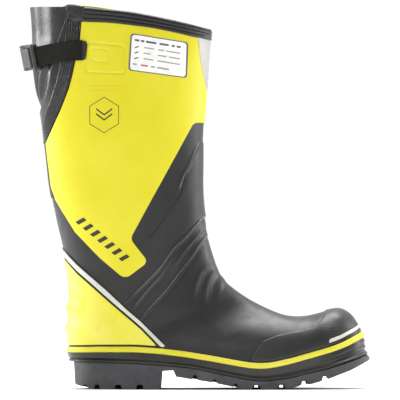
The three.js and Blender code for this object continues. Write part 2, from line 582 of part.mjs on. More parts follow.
part("collar_band", collarBand(), BLACK_RUBBER);
part("gusset_binding", gussetBinding(), BLACK_RUBBER);
part("back_stay", overlay(BACK_STAY, GAP, OVERLAY), BLACK_RUBBER);
part("anchor_outer", overlay(ANCHOR_PATCH, SECOND, 2).intersect(outerHalf), BLACK_RUBBER);
part("anchor_inner", overlay(raised(ANCHOR_PATCH, INNER_RISE), SECOND, 2).intersect(innerHalf), BLACK_RUBBER);
part("strap_outer", outerStrap(), WEBBING);
part("strap_inner", innerStrap(), WEBBING);
part("strap_tail", strapTail(), WEBBING);
part("buckle_frame", buckleFrame(), PLASTIC, buckle);
part("buckle_pin", bucklePin(), STEEL, buckle);
part("buckle_lever", buckleLever(), PLASTIC, buckle);

boot.add(buckle);
boot.position.x = -MIDDLE;

export default boot;
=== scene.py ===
"""A fire-fighter's rubber boot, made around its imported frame.

The upper is one lofted form, as in the CAD model, but finely divided. Each sheet of rubber, film or cloth is
a patch of that form: it is cut out along its outline in the side view, and stands at its own height over it.
The drawing is in millimetres, x to the toe, y to the inner side and z up; the frame's x is MIDDLE less.
"""
import json
import math

import bmesh
import bpy
import numpy as np
from mathutils import Matrix, Vector
from mathutils.bvhtree import BVHTree


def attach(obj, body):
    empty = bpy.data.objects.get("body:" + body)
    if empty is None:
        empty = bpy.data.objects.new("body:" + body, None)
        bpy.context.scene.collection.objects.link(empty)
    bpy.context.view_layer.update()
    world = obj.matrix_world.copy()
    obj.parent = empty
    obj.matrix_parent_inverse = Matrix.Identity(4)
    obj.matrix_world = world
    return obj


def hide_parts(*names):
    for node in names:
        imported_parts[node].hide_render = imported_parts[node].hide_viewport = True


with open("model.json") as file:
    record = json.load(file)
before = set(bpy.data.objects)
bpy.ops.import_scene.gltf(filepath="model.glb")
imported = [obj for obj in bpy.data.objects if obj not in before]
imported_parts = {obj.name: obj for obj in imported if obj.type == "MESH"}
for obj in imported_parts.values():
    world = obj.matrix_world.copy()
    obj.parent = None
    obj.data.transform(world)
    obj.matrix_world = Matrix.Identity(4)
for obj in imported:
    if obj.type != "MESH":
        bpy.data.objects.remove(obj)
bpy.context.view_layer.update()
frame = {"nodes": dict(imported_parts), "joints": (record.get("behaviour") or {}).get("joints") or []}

MM = 0.001  # metres
MIDDLE = 3.7  # the drawing's x at the frame's origin
FAR = 400  # well outside the boot
ARC_STEP = math.pi / 12  # between the points of a rounded corner
UP = Vector((0, 0, 1))

# ---- the boot's lines, as in the CAD model
# Rings of the form, from above the rim down the leg, round the heel and forward to the toe: the back and
# front ends in the side view, half the width, the middle's y, the share of the length, from the back, where
# the ring is widest, and the superellipse powers of its back and front halves.
RINGS = np.array([
    (-162.5, 394.5, 20, 366.5, 59.5, 0, 0.5, 2.1, 2.1),
    (-159.5, 358.5, 17.5, 332.5, 58.5, 0, 0.5, 2.1, 2.1),
    (-157.5, 312.5, 14.5, 290.5, 57, 0, 0.5, 2.1, 2.1),
    (-149, 270.5, 12.5, 256.5, 55.5, 0, 0.5, 2.1, 2.1),
    (-145, 238.5, 12, 228.5, 54, 0, 0.5, 2.1, 2.1),
    (-141, 203.5, 12, 198.5, 52, 0, 0.5, 2.1, 2.1),
    (-135.5, 172.5, 13.5, 174.5, 50, 0, 0.48, 2.1, 2.1),
    (-129, 145.5, 16.5, 153.5, 47.5, 0, 0.45, 2.1, 2.1),
    (-124, 120.5, 21.5, 134.5, 45, 0, 0.42, 2.1, 2.1),
    (-121, 98.5, 27.5, 118.5, 43.5, 0, 0.38, 2.1, 2),
    (-122, 70.5, 35, 107.5, 42.5, 0, 0.35, 2.1, 2),
    (-122.5, 46.5, 44, 99, 42, 0, 0.33, 2.3, 2),
    (-117, 30.5, 55, 91.5, 41, 0, 0.3, 2.5, 2),
    (-93, 27.4, 66, 85, 41, 0, 0.3, 5, 2),
    (-56, 26.2, 77, 79.5, 42, -1, 0.3, 8, 2),
    (-13, 23, 89, 75, 45, -1.5, 0.3, 8, 2.1),
    (24, 17, 101, 72.5, 49, -1, 0.3, 8, 2.1),
    (54, 11, 113, 72.5, 51.5, 0, 0.3, 8, 2.1),
    (79, 9, 125, 75, 51.5, 1, 0.3, 8, 2.1),
    (99, 12, 137, 78.5, 50, 2, 0.3, 8, 2.2),
    (111, 15.5, 149, 79.5, 48.5, 3, 0.3, 8, 2.25),
    (114, 16.3, 159, 74, 47.5, 3.5, 0.3, 8, 2.25),
    (116, 17, 166, 65, 47, 4, 0.26, 8, 2.25),
    (117.5, 17.5, 170.7, 55.5, 47, 4, 0.25, 8, 2.3),
    (118.5, 18, 173.3, 47, 47, 4, 0.25, 8, 2.3),
    (119.5, 18.5, 174, 34, 47, 4, 0.25, 8, 2.3),
])

RIM = [
    (-162, 381), (-124, 380.5), (-123, 383), (-106, 380), (-81, 377.5), (-61, 375.5), (-41, 372), (-21, 368),
    (-1, 363.5), (19, 358.5),
]
COLLAR_FOOT = [
    (-125, 368), (-109, 365.5), (-81, 364.5), (-61, 362.2), (-41, 359.5), (-21, 356), (-1, 351.5), (21, 347),
]
GUSSET_EDGE = [(-124, 380.5), (-132.2, 347), (-139.5, 315.5), (-142, 300.5), (-150, 276), (-160, 256)]
STRIPE_TOP = [
    (-119, 42), (-91, 42.7), (-56, 42.7), (-31, 41), (-7, 38.1), (19, 34), (48, 28.7), (59, 27), (71, 26.4),
    (81, 27.3), (99, 31.3), (121, 37.5), (139, 42.6), (153, 47.7), (165.5, 54.1), (185, 64),
]
STRIPE_HEIGHT = 5.9
SOLE_TOP = [
    (-120, 27.4), (-91, 26.6), (-61, 25.5), (-30, 23.5), (0, 21), (19, 17), (32, 14.4), (48, 11), (62, 8.6),
    (76, 8.2), (99, 11), (114, 15), (134, 19.4), (153, 25.2), (172, 32.2), (190, 40.5),
]
HEEL_TREAD = [(-117, 27.5), (-115.6, 4.9), (-108, 2.6), (-97, 0.6), (-88, 0), (-29.8, 0)]
FRONT_TREAD = [
    (-14.8, 12.8), (0, 10.4), (21, 7.2), (38, 3.6), (49, 0.8), (58, 0), (86, 0), (97, 1.3), (109, 3.5),
    (120, 5.5), (131, 8.6), (137.5, 10.8), (159, 19), (177.7, 28.5), (179.2, 30.5),
]
TREAD = [*HEEL_TREAD, (-28.3, 18.5), (-17.5, 19), *FRONT_TREAD]


def raised(line, by):
    return [(x, z + by) for x, z in line]


def height_at(line, x, soften=4):
    """The height of a side-view line, with its corners softened over that many millimetres each way."""
    xs, zs = np.array(line, float).T
    return sum(np.interp(x + soften * k / 2, xs, zs) for k in range(-2, 3)) / 5


def smooth(x, start, end):
    """0 before start, 1 after end, and a smooth step between them."""
    t = np.clip((x - start) / (end - start), 0, 1)
    return t * t * (3 - 2 * t)


def bump(x, middle, width):
    return np.exp(-(((x - middle) / width) ** 2))


def unit(vectors):
    return vectors / np.linalg.norm(vectors, axis=-1, keepdims=True)


def run_length(points):
    """How far along a line each of its points is."""
    return np.concatenate([[0], np.cumsum(np.linalg.norm(np.diff(points, axis=0), axis=1))])


def rounded(corners):
    """A closed outline whose corners (x, z, radius) are rounded by arcs."""
    points = []
    for i, corner in enumerate(corners):
        here = Vector(corner[:2])
        if len(corner) < 3:
            points.append(tuple(here))
            continue
        before = (Vector(corners[i - 1][:2]) - here).normalized()
        after = (Vector(corners[(i + 1) % len(corners)][:2]) - here).normalized()
        half = before.angle(after) / 2
        centre = here + (before + after).normalized() * (corner[2] / math.sin(half))
        start, end = (here + way * (corner[2] / math.tan(half)) - centre for way in (before, after))
        turn = math.atan2(start.x * end.y - start.y * end.x, start.dot(end))
        steps = max(1, math.ceil(abs(turn) / ARC_STEP))
        points += [tuple(centre + Matrix.Rotation(turn * k / steps, 2) @ start) for k in range(steps + 1)]
    return points


YELLOW_LEG = rounded([
    *raised(COLLAR_FOOT, 1)[1:], (60, 345), (60, 265.5), (2.5, 265, 6), (-59.8, 150, 7), (-42, 127, 6),
    (-65.5, 109, 9), (-90, 129.8), (-115.5, 156.5), (-134.6, 188.5), (-139.4, 202, 10), (-142, 224),
    (-144.5, 245.5, 3), (-135, 266.5), (-129, 279.5), (-121.4, 299.5), (-117.8, 312.7), (-110.5, 347.8),
])
GUSSET_BINDING = [
    (-145.7, 244), (-135.4, 266.7), (-129.4, 279.8), (-121.8, 299.6), (-118.2, 312.8), (-110.9, 347.9),
    (-108, 368), (-123.2, 371), *GUSSET_EDGE[1:], (-170, 244),
]
BACK_STAY = [(-170, 190), (-136, 190), (-139.9, 202.5), (-142.5, 224.3), (-144.8, 246), (-170, 246)]
STRIPE_UPPER = [
    (-170, 139.5), (-128, 139.5), (-121, 131.8), (-113, 123.6), (-99, 111.4), (-85, 99.4), (-64, 79.4),
    (-50, 67.4), (-25, 42.4),
]
STRIPE_LOWER = [
    (-170, 135), (-128.4, 135), (-120.5, 126), (-113.5, 118.2), (-99, 105.6), (-77.5, 86.3), (-63.5, 74.3),
    (-49.5, 62.3), (-30, 42),
]
FRONT_REFLECTOR = [(5.7, 352), (8, 330.5), (11, 314), (14.5, 299), (60, 297), (60, 352)]
BUMPER = [
    (58.7, 0), (59.5, 33.7), (70, 47.7), (85.5, 54.1), (109, 58.5), (123.8, 61.8), (131, 70.5), (134, 77.5),
    (135.5, 110), (220, 110), (220, 0),
]
TOE_STRIP = [
    (137.5, 49.8), (149, 54), (161, 60), (168, 64.6), (185, 76), (185, 71.5), (170.5, 62.3), (161, 56.4),
    (149, 50.3), (136.7, 46),
]
SHIN_GUARD = rounded([
    (60, 247), (10.5, 246.5, 8), (-4, 219.5), (-11, 193.5), (-23, 176.5), (-33, 161.5), (-42, 150.5, 5),
    (-37, 134.5, 8), (-4, 158), (9, 170), (60, 176),
])
LABEL = rounded([(-59.9, 354.1, 3), (-3.5, 345.4, 3), (-5.1, 309.7, 3), (-62.3, 317.2, 3)])
ANCHOR_PATCH = rounded([(-111.5, 347, 1.5), (-102.4, 346.2, 1.5), (-104.4, 327.4, 1.5), (-113.5, 327.6, 1.5)])
FOOT_SEAM = [(-128, 134), (-52, 70.5), (-36, 86.5), (-11, 115), (6, 140.5), (17, 154)]
OPEN_BACK = [*GUSSET_EDGE, (-FAR, 256), (-FAR, FAR), (-124, FAR)]

RUBBER = 2.5  # wall of the shells
OVERLAY = 1.1  # sheets of rubber on them
FILM = 0.35  # reflective strips and the label

# ---- the form
QUARTER_FRONT = 60  # points round a quarter of a ring's front half
QUARTER_BACK = 42
LEG_STEP = 2.8  # between rows, in millimetres
ANKLE_STEP = 1.4
FOOT_STEP = 2.5
ANKLE_RINGS = (4, 15)


def spline(rows, at):
    """The Catmull-Rom curve through rows of numbers, at places counted in rows."""
    rows = np.asarray(rows, float)
    last = len(rows) - 1
    i = np.clip(np.floor(at).astype(int), 0, last - 1)
    f = (at - i)[:, None]
    a, b, c, d = (rows[np.clip(i + k, 0, last)] for k in (-1, 0, 1, 2))
    return 0.5 * (2 * b + (c - a) * f + (2 * a - 5 * b + 4 * c - d) * f**2 + (3 * b - a - 3 * c + d) * f**3)


def row_places():
    """Where the form's rows lie, counted in rings."""
    places = []
    for i in range(len(RINGS) - 1):
        step = LEG_STEP if i < ANKLE_RINGS[0] else ANKLE_STEP if i < ANKLE_RINGS[1] else FOOT_STEP
        moved = np.abs(RINGS[i + 1, :4] - RINGS[i, :4]).reshape(2, 2)
        count = math.ceil(np.hypot(*moved.T).max() / step)
        places += [i + k / count for k in range(count)]
    return np.array([*places, len(RINGS) - 1.0])


def quarter(power, long, wide, count):
    """A quarter of a superellipse from its end to its widest place, as count even steps."""
    angle = np.linspace(0, math.pi / 2, 181)
    c, s = np.cos(angle), np.sin(angle)
    reach = (c**power + s**power) ** (-1 / power)
    x, y = reach * c, reach * s
    run = run_length(np.column_stack([x * long, y * wide]))
    at = np.linspace(0, run[-1], count + 1)
    return np.interp(at, run, x), np.interp(at, run, y)


def form_points():
    """The form's points, as rows of columns that start at the front and go round by the inner side."""
    rows = []
    for bx, bz, fx, fz, half, shift, wide, floor, crown in spline(RINGS, row_places()):
        back, front = np.array([bx, bz]), np.array([fx, fz])
        middle = back + (front - back) * wide
        x_front, y_front = quarter(crown, np.linalg.norm(front - middle), half, QUARTER_FRONT)
        x_back, y_back = quarter(floor, np.linalg.norm(back - middle), half, QUARTER_BACK)
        x, z = np.concatenate([
            middle + np.outer(x_front, front - middle),
            (middle + np.outer(x_back, back - middle))[-2::-1],
        ]).T
        y = np.concatenate([y_front, y_back[-2::-1]]) * half
        outer = np.column_stack([x, shift - y, z])[-2:0:-1]
        rows.append(np.concatenate([np.column_stack([x, shift + y, z]), outer]))
    return np.array(rows)


def grid_normals(points):
    """Normals of a grid of rows that close round, pointing out."""
    along = np.gradient(points, axis=0)
    around = np.roll(points, -1, 1) - np.roll(points, 1, 1)
    normal = np.cross(around, along)
    normal /= np.linalg.norm(normal, axis=-1, keepdims=True) + 1e-12
    outward = ((points - points.mean(1, keepdims=True)) * normal).sum()
    return normal if outward > 0 else -normal


# Folds of the rubber where the leg bends: a line of the side view, and the width and height of its ridge. A
# hollow lies beside it, on the side of the shin.
FOLDS = [
    ([(14, 174.7), (3, 161.3), (-6, 150.5), (-18, 138.5), (-30.3, 121), (-46, 104.5), (-67, 84.7)], 1.1, 1.15),
    ([(-19, 132.5), (-31, 112), (-43.6, 98), (-59, 78.5)], 1.0, 0.85),
    ([(16.6, 155.2), (6, 139.8), (-2, 127.7), (-11.5, 115.7), (-23.6, 99.6), (-41, 80.8), (-53, 66)], 1.1, 1.3),
    ([(8, 246), (4, 238), (-2, 223), (-8.2, 211), (-13, 196)], 1.2, 0.8),
    ([(14, 163), (4, 150), (-8, 136), (-16, 124)], 1.3, 0.7),
]
NEAR_FOLD = 5  # how far from a fold patches are divided along it
INSTEP_FOLDS = [
    ([(24, 130), (12, 117), (6, 100.5), (3, 84), (2, 70)], 3.2, 0.9),
    ([(27, 124), (20, 112), (16.5, 99), (15, 84), (15, 70)], 3.4, 1.05),
    ([(36, 116), (30, 106), (26, 92), (25, 80)], 3.2, 0.5),
]


def along_curve(points, x, z):
    """How far points are to the left of a curve of the side view, how far from it, and how far along it."""
    path = spline(points, np.linspace(0, len(points) - 1, 12 * len(points)))
    gap = np.hypot(x[:, None] - path[:, 0], z[:, None] - path[:, 1])
    near = gap.argmin(1)
    forward = unit(np.gradient(path, axis=0)[near])
    side = forward[:, 0] * (z - path[near, 1]) - forward[:, 1] * (x - path[near, 0])
    share = near / (len(path) - 1)
    beside = (share > 0) & (share < 1)
    return side, np.where(beside, np.abs(side), gap[np.arange(len(x)), near]), share


def folds(points):
    """How far the rubber's folds and its slight unevenness move the form out."""
    x, y, z = points.T
    out = 0.25 * np.sin(x / 17 + y / 23) * np.sin(z / 21 - y / 19) + 0.12 * np.sin(x / 7 - z / 9 + y / 6)
    at_ankle = np.flatnonzero((z > 60) & (z < 260) & (x > -80))
    moved = 0
    for lines, rise, fall, reach, hollow, hollow_at, wide in (
        (FOLDS, 0.05, 0.86, lambda width: 4 * width + 4, 0.4, 2.6, 1.5),
        (INSTEP_FOLDS, 0.3, 0.4, lambda width: 5 * width, 0.6, 1.9, 1),
    ):
        for line, width, height in lines:
            side, gap, share = along_curve(line, x[at_ankle], z[at_ankle])
            fade = smooth(share, 0, rise) * (1 - smooth(share, fall, 1)) * (gap < reach(width))
            dip = hollow * bump(side, hollow_at * width, wide * width)
            moved = moved + height * fade * (bump(side, 0, width) - dip)
    out[at_ankle] += moved * np.where(y[at_ankle] > 0, 0.8, 1.0)
    return out


FORM = form_points()
NORMALS = grid_normals(FORM)


# ---- patches of the form
class Patch:
    """Part of the form: a table of points with normals, and faces that can be cut along lines."""

    def __init__(self, thin=1):
        every = [*range(0, len(FORM) - 1, thin), len(FORM) - 1]
        table = np.concatenate([FORM[every, ::thin], NORMALS[every, ::thin]], -1)
        index = np.arange(table[..., 0].size).reshape(table.shape[:2])
        ahead = np.roll(index, -1, 1)
        self.table = table.reshape(-1, 6)
        self.quads = np.stack([index[:-1], ahead[:-1], ahead[1:], index[1:]], -1).reshape(-1, 4)
        self.polygons = []
        self.last_row = index[-1].tolist()

    x = property(lambda self: self.table[:, 0])
    y = property(lambda self: self.table[:, 1])
    z = property(lambda self: self.table[:, 2])
    point = property(lambda self: self.table[:, :3])
    normal = property(lambda self: self.table[:, 3:6])

    def closed(self):
        """Adds the flat end under the toe."""
        ring = self.last_row
        self.polygons += [[a, b, len(self.table)] for a, b in zip(ring, ring[1:] + ring[:1])]
        self.table = np.vstack([self.table, self.table[ring].mean(0)])
        return self

    def column(self, values):
        """Adds a number for each point, and returns its place in the table."""
        self.table = np.column_stack([self.table, values])
        return self.table.shape[1] - 1

    def keep(self, wanted):
        """Keeps the faces whose points' mean of wanted, a number per point, is over 0, and their points."""
        self.quads = self.quads[wanted[self.quads].mean(1) > 0]
        self.polygons = [p for p in self.polygons if wanted[p].mean() > 0]
        used = np.unique(np.concatenate([self.quads.ravel(), *map(np.array, self.polygons)]).astype(int))
        place = np.full(len(self.table), -1)
        place[used] = np.arange(len(used))
        self.table = self.table[used]
        self.quads = place[self.quads]
        self.polygons = [place[p].tolist() for p in self.polygons]
        return self

    def cut(self, column, level):
        """Divides the faces that the line of points at that level crosses."""
        over = self.table[:, column] > level
        mixed = over[self.quads].any(1) & ~over[self.quads].all(1)
        crossed = self.quads[mixed]
        self.quads = self.quads[~mixed]
        polygons = [*self.polygons, *crossed[:, [0, 1, 2]].tolist(), *crossed[:, [0, 2, 3]].tolist()]
        rows, found = [], {}

        def crossing(i, j):
            key = (min(i, j), max(i, j))
            if key not in found:
                a, b = self.table[key[0]], self.table[key[1]]
                row = a + (b - a) * ((level - a[column]) / (b[column] - a[column]))
                row[column] = level
                found[key] = len(self.table) + len(rows)
                rows.append(row)
            return found[key]

        over = over.tolist()
        self.polygons = []
        for polygon in polygons:
            if sum(over[i] for i in polygon) in (0, len(polygon)):
                self.polygons.append(polygon)
                continue
            high, low = [], []
            for i, j in zip(polygon, polygon[1:] + polygon[:1]):
                (high if over[i] else low).append(i)
                if over[i] != over[j]:
                    high.append(crossing(i, j))
                    low.append(crossing(i, j))
            self.polygons += [p for p in (high, low) if len(p) > 2]
        if rows:
            self.table = np.vstack([self.table, rows])

    def trim(self, distance):
        """Cuts along the line where distance, a number per point, is 0, and keeps what is over it.
        Returns the column that holds the distance."""
        column = self.column(distance)
        self.cut(column, 0)
        self.keep(self.table[:, column])
        return column

    def crease(self):
        """Divides the patch along the folds, so that their ridges are clean lines."""
        for line, width, _ in [*FOLDS, *INSTEP_FOLDS]:
            side, gap, _ = along_curve(line, self.x, self.z)
            self.cut(self.column(np.where(gap < NEAR_FOLD, side, NEAR_FOLD)), 0)
            column = self.column(along_curve(line, self.x, self.z)[1])
            for level in (0.75, 1.5):
                self.cut(column, level * width)

    def finer(self, times=1):
        """Divides each quad in four, with the new points on the curved form. For a patch that isn't cut."""
        for _ in range(times):
            table, quads = self.table, self.quads
            edges = np.concatenate([quads[:, [k, (k + 1) % 4]] for k in range(4)])
            unique, back = np.unique(np.sort(edges, 1), axis=0, return_inverse=True)
            a, b = table[unique[:, 0]], table[unique[:, 1]]
            middle = (a + b) / 2
            run = b[:, :3] - a[:, :3]
            lift_a, lift_b = ((run * end[:, 3:6]).sum(1, keepdims=True) * end[:, 3:6] for end in (a, b))
            middle[:, :3] -= (lift_a - lift_b) / 8
            sides = back.reshape(4, -1).T
            centre = np.arange(len(quads)) + len(table) + len(middle)
            self.table = np.vstack([table, middle, middle[sides].mean(1)])
            sides = sides + len(table)
            self.quads = np.concatenate([
                np.column_stack([quads[:, k], sides[:, k], centre, sides[:, k - 1]]) for k in range(4)
            ])
        return self


def outline_distance(outline, patch):
    """How far inside an outline of the side view each point is, measured along the surface."""
    low, high = np.min(outline, 0) - 20, np.max(outline, 0) + 20
    near = np.flatnonzero((patch.x > low[0]) & (patch.x < high[0]) & (patch.z > low[1]) & (patch.z < high[1]))
    ax, az = np.array(outline, float).T
    rx, rz = np.roll(ax, -1) - ax, np.roll(az, -1) - az
    px, pz = patch.x[near, None] - ax, patch.z[near, None] - az
    share = np.clip((px * rx + pz * rz) / np.maximum(rx**2 + rz**2, 1e-9), 0, 1)
    dx, dz = px - share * rx, pz - share * rz
    closest = np.hypot(dx, dz).argmin(1)
    dx, dz = dx[np.arange(len(near)), closest], dz[np.arange(len(near)), closest]
    gap = np.hypot(dx, dz)
    slope = np.where(np.abs(rz) < 1e-9, 1e-9, rz)
    crosses = ((pz < 0) != (pz < rz)) & (px < rx * pz / slope)
    normal = patch.normal[near]
    lean = (dx * normal[:, 0] + dz * normal[:, 2]) / np.maximum(gap, 1e-6)
    distance = np.full(len(patch.x), -1e3)
    distance[near] = np.where(crosses.sum(1) % 2, gap, -gap) / np.sqrt(np.clip(1 - lean**2, 0.12, 1))
    return distance


def under(line, patch, by=0):
    """How far each point is under a line of the side view."""
    return height_at(line, patch.x) + by - patch.z


# ---- meshes
def shown(name, data, look=None):
    """An object of the scene with that mesh, lamp or camera; a mesh may get a look."""
    if look:
        data.materials.append(look.owner)
    made = bpy.data.objects.new(name, data)
    bpy.context.scene.collection.objects.link(made)
    return made


def shade_smooth(mesh, sharp):
    mesh.polygons.foreach_set("use_smooth", [True] * len(mesh.polygons))
    mesh.set_sharp_from_angle(angle=math.radians(sharp))


def mesh_piece(name, points, faces, look, sharp=40, attributes=None):
    """A piece from points in the drawing's millimetres, with smooth shading up to that angle."""
    mesh = bpy.data.meshes.new(name)
    mesh.from_pydata(((np.asarray(points, float) - [MIDDLE, 0, 0]) * MM).tolist(), [], faces)
    for key, values in (attributes or {}).items():
        mesh.attributes.new(key, "FLOAT", "POINT").data.foreach_set("value", np.asarray(values, np.float32))
    work = bmesh.new()
    work.from_mesh(mesh)
    bmesh.ops.remove_doubles(work, verts=work.verts, dist=0.02 * MM)
    bmesh.ops.dissolve_degenerate(work, dist=0.01 * MM, edges=work.edges)
    bmesh.ops.recalc_face_normals(work, faces=work.faces)
    work.to_mesh(mesh)
    work.free()
    shade_smooth(mesh, sharp)
    return shown(name, mesh, look)


def finish_piece(piece, slot, *nodes, body="boot"):
    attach(piece, body)
    if nodes:
        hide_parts(*nodes)
    return piece


def sheet_solid(name, patch, outer, inner, look, attributes=None):
    """A closed sheet between two heights over the form, numbers per point."""
    lift = folds(patch.point)
    normal = unit(patch.normal)
    skins = [patch.point + normal * (height + lift)[:, None] for height in (outer, inner)]
    # ridge marks the tops of the folds, where leg_rubber paints a highlight
    attributes = {**(attributes or {}), "ridge": smooth(lift, 0.45, 1.1)}
    faces = [*patch.quads.tolist(), *patch.polygons]
    count = len(lift)
    sides = {}
    for face in faces:
        for i, j in zip(face, face[1:] + face[:1]):
            if not sides.pop((j, i), False):
                sides[i, j] = True
    walls = [[i, i + count, j + count, j] for i, j in sides]
    backs = [[i + count for i in reversed(face)] for face in faces]
    both = {key: np.tile(values, 2) for key, values in attributes.items()}
    return mesh_piece(name, np.vstack(skins), [*faces, *backs, *walls], look, attributes=both)


EDGE_CUTS = (0.1, 0.35, 0.65, 1.0)  # where an edge is divided, in shares of its radius


def panel(name, outline, look, slot, *nodes, start=0, thick=OVERLAY, radius=0.9, side=0, shape=None, cuts=(),
          over=1.0, finer=0, top=-0.5, depth=0.4, attributes=None):
    """A sheet cut out along an outline of the side view, over the sole and under the rim, with rounded edges.
    start is the height that it lies on; side is -1 or 1 for the outer or inner side only; shape adds heights;
    cuts are further lines to divide it along, each a function of the patch and its levels."""
    patch = Patch()
    patch.keep(np.where(patch.y * side >= 0, outline_distance(outline, patch) + 6, -1)).finer(finer)
    reach = np.minimum(outline_distance(outline, patch), patch.z - height_at(STRIPE_TOP, patch.x) - over)
    column = patch.trim(np.minimum(reach, under(RIM, patch, top)))
    for level in EDGE_CUTS:
        patch.cut(column, level * radius)
    for measure, levels in cuts:
        other = patch.column(measure(patch))
        for level in levels:
            patch.cut(other, level)
    edge = patch.table[:, column]
    height = start + thick * np.sqrt(1 - (1 - np.clip(edge / radius, 0, 1)) ** 2)
    if shape:
        height = height + shape(patch) * smooth(edge, 0, radius)
    attributes = {"edge": edge, **{key: value(patch) for key, value in (attributes or {}).items()}}
    return finish_piece(sheet_solid(name, patch, height, start - depth, look, attributes), slot, *nodes)


def columns(rows):
    """Rows of points as columns."""
    return np.array(rows).transpose(1, 0, 2)


def swept(name, rings, look, sharp=40, attributes=None, close=True):
    """A piece through rings of points: rings close round, and so does the sweep, unless close is False."""
    rings = np.asarray(rings, float)
    count, size = rings.shape[:2]
    index = np.arange(count * size).reshape(count, size)
    ahead = np.roll(index, -1, 0)
    if not close:
        index, ahead = index[:-1], index[1:]
    faces = np.stack([index, np.roll(index, -1, 1), np.roll(ahead, -1, 1), ahead], -1).reshape(-1, 4).tolist()
    if not close:
        faces += [list(range(size))[::-1], list(range((count - 1) * size, count * size))]
    return mesh_piece(name, rings.reshape(-1, 3), faces, look, sharp, attributes)


# ---- materials
def linear(red, green, blue):
    """A colour given as on a screen, from 0 to 255, as the shader's linear numbers."""
    shares = (value / 255 for value in (red, green, blue))
    return (*(s / 12.92 if s <= 0.04045 else ((s + 0.055) / 1.055) ** 2.4 for s in shares), 1)


class Nodes:
    """The nodes of a material or world, with short names for what the looks below need."""

    def __init__(self, owner):
        self.owner = owner
        owner.use_nodes = True
        self.places = self.node("TexCoord", {}).outputs
        self.place = self.places["Object"]
        self.normal = None

    def link(self, source, node, socket):
        self.owner.node_tree.links.new(source, self.owner.node_tree.nodes[node].inputs[socket])

    def node(self, kind, inputs, **settings):
        """A new node, whose inputs are values or the sockets that feed them."""
        made = self.owner.node_tree.nodes.new("ShaderNode" + kind)
        for key, value in settings.items():
            setattr(made, key, value)
        for key, value in inputs.items():
            if isinstance(value, bpy.types.NodeSocket):
                self.owner.node_tree.links.new(value, made.inputs[key])
            else:
                made.inputs[key].default_value = value
        return made

    def noise(self, size, detail=3, roughness=0.55, stretch=(1, 1, 1)):
        """Noise whose features are about size millimetres across."""
        place = self.node("Mapping", {"Vector": self.place, "Scale": stretch}).outputs["Vector"]
        inputs = {"Scale": 1 / (size * MM), "Detail": detail, "Roughness": roughness, "Vector": place}
        return self.node("TexNoise", inputs).outputs["Fac"]

    def wave(self, size, direction, distortion=0.0):
        inputs = {"Scale": 0.3142 / (size * MM), "Distortion": distortion, "Vector": self.place}
        return self.node("TexWave", inputs, bands_direction=direction).outputs["Fac"]

    def span(self, source, low, high, start=0.0, end=1.0):
        """source from low to high becomes start to end."""
        inputs = {"Value": source, "From Min": low, "From Max": high, "To Min": start, "To Max": end}
        return self.node("MapRange", inputs).outputs["Result"]

    def maths(self, operation, a, b=0.0):
        return self.node("Math", {0: a, 1: b}, operation=operation).outputs[0]

    def attribute(self, name):
        return self.node("Attribute", {}, attribute_name=name).outputs["Fac"]

    def colour(self, share, *ends):
        """Blends from one colour to the other by share, or a single one over what is there."""
        inputs = {0: share, 7: linear(*ends[-1]), 6: linear(*ends[0]) if ends[1:] else self.body}
        self.body = self.node("Mix", inputs, data_type="RGBA").outputs[2]
        self.link(self.body, "Principled BSDF", "Base Color")

    def roughness(self, source, start, end):
        self.link(self.span(source, 0.3, 0.7, start, end), "Principled BSDF", "Roughness")

    def relief(self, source, depth):
        """Bumps from source, as deep as depth millimetres, over any that there are already."""
        inputs = {"Strength": 1, "Distance": depth * MM, "Height": source}
        if self.normal:
            inputs["Normal"] = self.normal
        self.normal = self.node("Bump", inputs).outputs["Normal"]
        self.link(self.normal, "Principled BSDF", "Normal")

    def set(self, key, value):
        self.owner.node_tree.nodes["Principled BSDF"].inputs[key].default_value = value


def material(name):
    return Nodes(bpy.data.materials.new(name))


def plain(name, tone, dark, light, rough, *reliefs):
    """A material from noises: one and its span for the colour, one for the roughness, others for relief."""
    m = material(name)
    m.colour(m.span(m.noise(*tone[2:]), *tone[:2]), dark, light)
    m.roughness(m.noise(*rough[2:]), *rough[:2])
    for depth, *noise in reliefs:
        m.relief(m.noise(*noise), depth)
    return m


def print_ink(name, *colour):
    blotches = [value + 26 for value in colour]
    return plain(name, (0.55, 0.85, 0.8, 5, 0.7), colour, blotches, (0.45, 0.6, 2), (0.01, 0.5))


def black_rubber(name, dark, light, gloss):
    """Moulded black rubber: faint bloom in patches, a fine grain and duller smears."""
    m = material(name)
    bloom = m.span(m.noise(6, 5, 0.65), 0.3, 0.75, 0.35)
    m.colour(m.maths("MULTIPLY", m.span(m.noise(45, 4), 0.38, 0.68), bloom), dark, light)
    m.roughness(m.noise(14, 5, 0.6), gloss - 0.07, gloss + 0.1)
    m.relief(m.noise(0.7, 3, 0.6), 0.035)
    m.relief(m.noise(9), 0.16)
    return m


def leg_rubber():
    """The shells' rubber, with a painted highlight along the tops of the folds, broken up by noise."""
    m = black_rubber("leg_rubber", (17, 17, 17), (31, 31, 30), 0.4)
    blotches = m.span(m.noise(3, 4, 0.7), 0.3, 0.6, 0.5)
    # painted highlight: a paler grey laid on the fold tops that the ridge attribute marks, in noisy blotches
    m.colour(m.maths("MULTIPLY", m.attribute("ridge"), blotches), (92, 92, 90))
    return m


def toe_rubber():
    """The toe's rubber, with fine ridges in the patch that the grip attribute marks."""
    m = black_rubber("toe_rubber", (20, 20, 19), (36, 36, 35), 0.4)
    m.relief(m.maths("MULTIPLY", m.wave(1.5, "Z", 0.6), m.attribute("grip")), 0.16)
    return m


